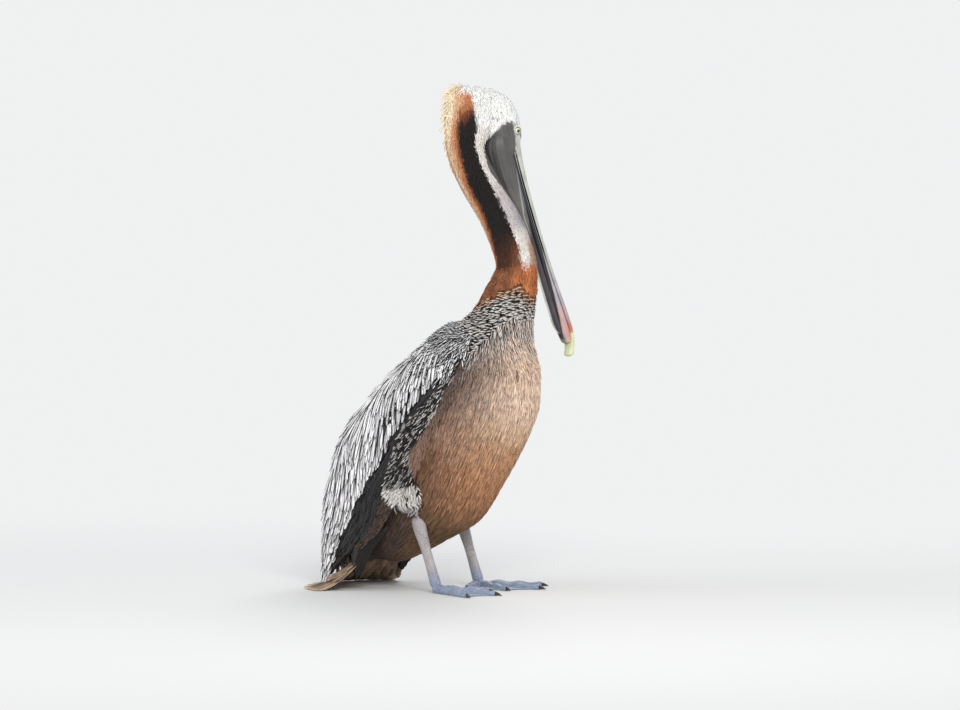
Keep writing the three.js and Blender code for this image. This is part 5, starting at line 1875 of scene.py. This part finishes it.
# %% Material of the legs
def scaly_skin(name):
    """Small raised scales over the painted Tone, dark in the seams between them."""
    material = living_skin(name, {"Roughness": 0.45}, bump=0.3, mottle=0.25)
    tree = material.node_tree
    shader = tree.nodes["Principled BSDF"]
    place = put(tree, "ShaderNodeTexCoord").outputs["Object"]
    cells = put(tree, "ShaderNodeTexVoronoi", {"Vector": place, "Scale": 420}, feature="DISTANCE_TO_EDGE")
    plate = smooth_step(tree, cells.outputs["Distance"], 0.0, 0.16)
    painted = shader.inputs["Base Color"].links[0].from_socket
    seams = mix_colour(tree, plate, (0.58, 0.58, 0.58, 1), (1, 1, 1, 1))
    grain = shader.inputs["Normal"].links[0].from_socket
    surface(tree, shader, mix_colour(tree, 1.0, painted, seams, "MULTIPLY"),
            {"Height": plate, "Strength": 0.5, "Distance": 0.0004, "Normal": grain})
    return material


leg_scales = scaly_skin("leg_scales")
print("leg material:", len(leg_scales.node_tree.nodes), "nodes")

# %% Legs, feet and claws
FOOT_BLUE, CLAW_BLACK = paint(152, 164, 190), paint(44, 44, 48)
claw_horn = living_skin("claw_horn", {"Roughness": 0.3}, fine=700, bump=0.1, mottle=0.2)
for word, side in SIDES.items():
    rows = shank_rows(side)
    parts = [closed_tube(lambda u, a: limb_sheet(rows, 4, u, a, 0.2), np.linspace(-0.97, 3.97, 50), 28)]
    toes = list(TOES.values())
    parts += [toe_tube(side, *toe) for toe in toes]
    parts += [web_wedge(side, a, b) for a, b in zip(toes[:-1], toes[1:])]
    points, faces = remeshed(*joined(parts), voxel=0.0010, rounds=3)
    points[:, 2] = np.maximum(points[:, 2], 0)  # the soles are pressed flat
    x, y, z = (points / MM - CENTRE - foot_root(side)).T
    tone = blend(ease((z - 12) / 25), FOOT_BLUE, LEG_PALE)
    # Wavy lines low on the foot are painted darker: painted shade in the wrinkles of toes and webs.
    wrinkle_shade = np.sin(x * 0.55 + 2 * np.sin(y * 0.21)) * np.sin(y * 0.33 + x * 0.11)
    tone = tone * (1 - 0.16 * (z < 6) * np.clip(wrinkle_shade, 0, 1))[:, None]
    piece(f"leg_{word}", points, faces, leg_scales, [f"shank_{word}", f"foot_{word}"],
          {"Tone": tone})
    points, faces = joined([claw(side, *toe) for toe in toes])
    points[:, 2] = np.maximum(points[:, 2], 0.02)
    names = [f"claw_{word}_{toe}" for toe in TOES]
    piece(f"claws_{word}", metres(points), faces, claw_horn, names,
          {"Tone": flat_tone(CLAW_BLACK, points[:, 0])}, recalc=True)

# %% [markdown]
# ## Stage
# The bird is judged by itself, so it stands on a plain pale floor under three large soft lamps. A
# bright background would be easy to get with more light, but the white cap would lose its form. Here
# the lamps stay low, and the floor fades into a background that is as pale as its own colour says.

# %% Floor
BACKDROP, PALE = (0.87, 0.875, 0.88), (0.74, 0.74, 0.74)
FLOOR_RADIUS, FLOOR_SIDES = 40.0, 64
FADE_FROM, FADE_TO = 0.45, 1.7  # metres from the bird

turn = around(FLOOR_SIDES)
rim = np.stack([np.cos(turn) * FLOOR_RADIUS, np.sin(turn) * FLOOR_RADIUS, turn * 0], axis=-1)
floor_mesh = bpy.data.meshes.new("floor")
floor_mesh.from_pydata(rim.tolist(), [], [list(range(FLOOR_SIDES))])
floor_paint, tree, shader = new_material("floor_paint", {"Roughness": 0.9, "Base Color": (*PALE, 1)})
floor_mesh.materials.append(floor_paint)
floor = new_object("floor", floor_mesh)

place = put(tree, "ShaderNodeTexCoord").outputs["Object"]
distance = put(tree, "ShaderNodeVectorMath", {0: place}, operation="LENGTH").outputs["Value"]
far = smooth_step(tree, distance, FADE_FROM, FADE_TO)
glow = put(tree, "ShaderNodeEmission", {"Color": (*BACKDROP, 1), "Strength": 1.0})
shown = math(tree, "MULTIPLY", far, put(tree, "ShaderNodeLightPath").outputs["Is Camera Ray"])
faded = put(tree, "ShaderNodeMixShader", {0: shown, 1: shader.outputs[0], 2: glow.outputs[0]})
tree.links.new(faded.outputs[0], tree.nodes["Material Output"].inputs["Surface"])
print("floor fades out from", FADE_FROM, "to", FADE_TO, "m")

# %% Background and lamps
SKY_LIGHT = (0.54, 0.55, 0.56)
LAMPS_FACE = Vector((0, 0, 0.35))  # the middle of the bird
world = bpy.data.worlds.new("studio")
bpy.context.scene.world = world
world.use_nodes = True
sky = world.node_tree
rays = put(sky, "ShaderNodeLightPath").outputs
seen = math(sky, "MAXIMUM", rays["Is Glossy Ray"], rays["Is Transmission Ray"])
seen = math(sky, "MAXIMUM", rays["Is Camera Ray"], seen)
shown = mix_colour(sky, seen, (*SKY_LIGHT, 1), (*BACKDROP, 1))
sky.links.new(shown, sky.nodes["Background"].inputs["Color"])


def lamp(name, place, size, power, colour=(1, 1, 1)):
    """A square soft lamp that faces the middle of the bird."""
    light = bpy.data.lights.new(name, "AREA")
    light.shape, light.size, light.energy, light.color = "SQUARE", size, power, colour
    made = new_object(name, light)
    made.location = place
    made.rotation_euler = (Vector(place) - LAMPS_FACE).to_track_quat("Z", "Y").to_euler()
    print(name, "lamp:", power, "W")


lamp("key", (1.7, -2.2, 1.7), 1.2, 56, (1.0, 0.985, 0.96))
lamp("fill", (-2.2, -1.6, 1.2), 2.0, 23, (0.96, 0.98, 1.0))
lamp("back", (-0.5, 2.4, 2.0), 1.5, 34)
bpy.context.scene.view_settings.view_transform = "Standard"
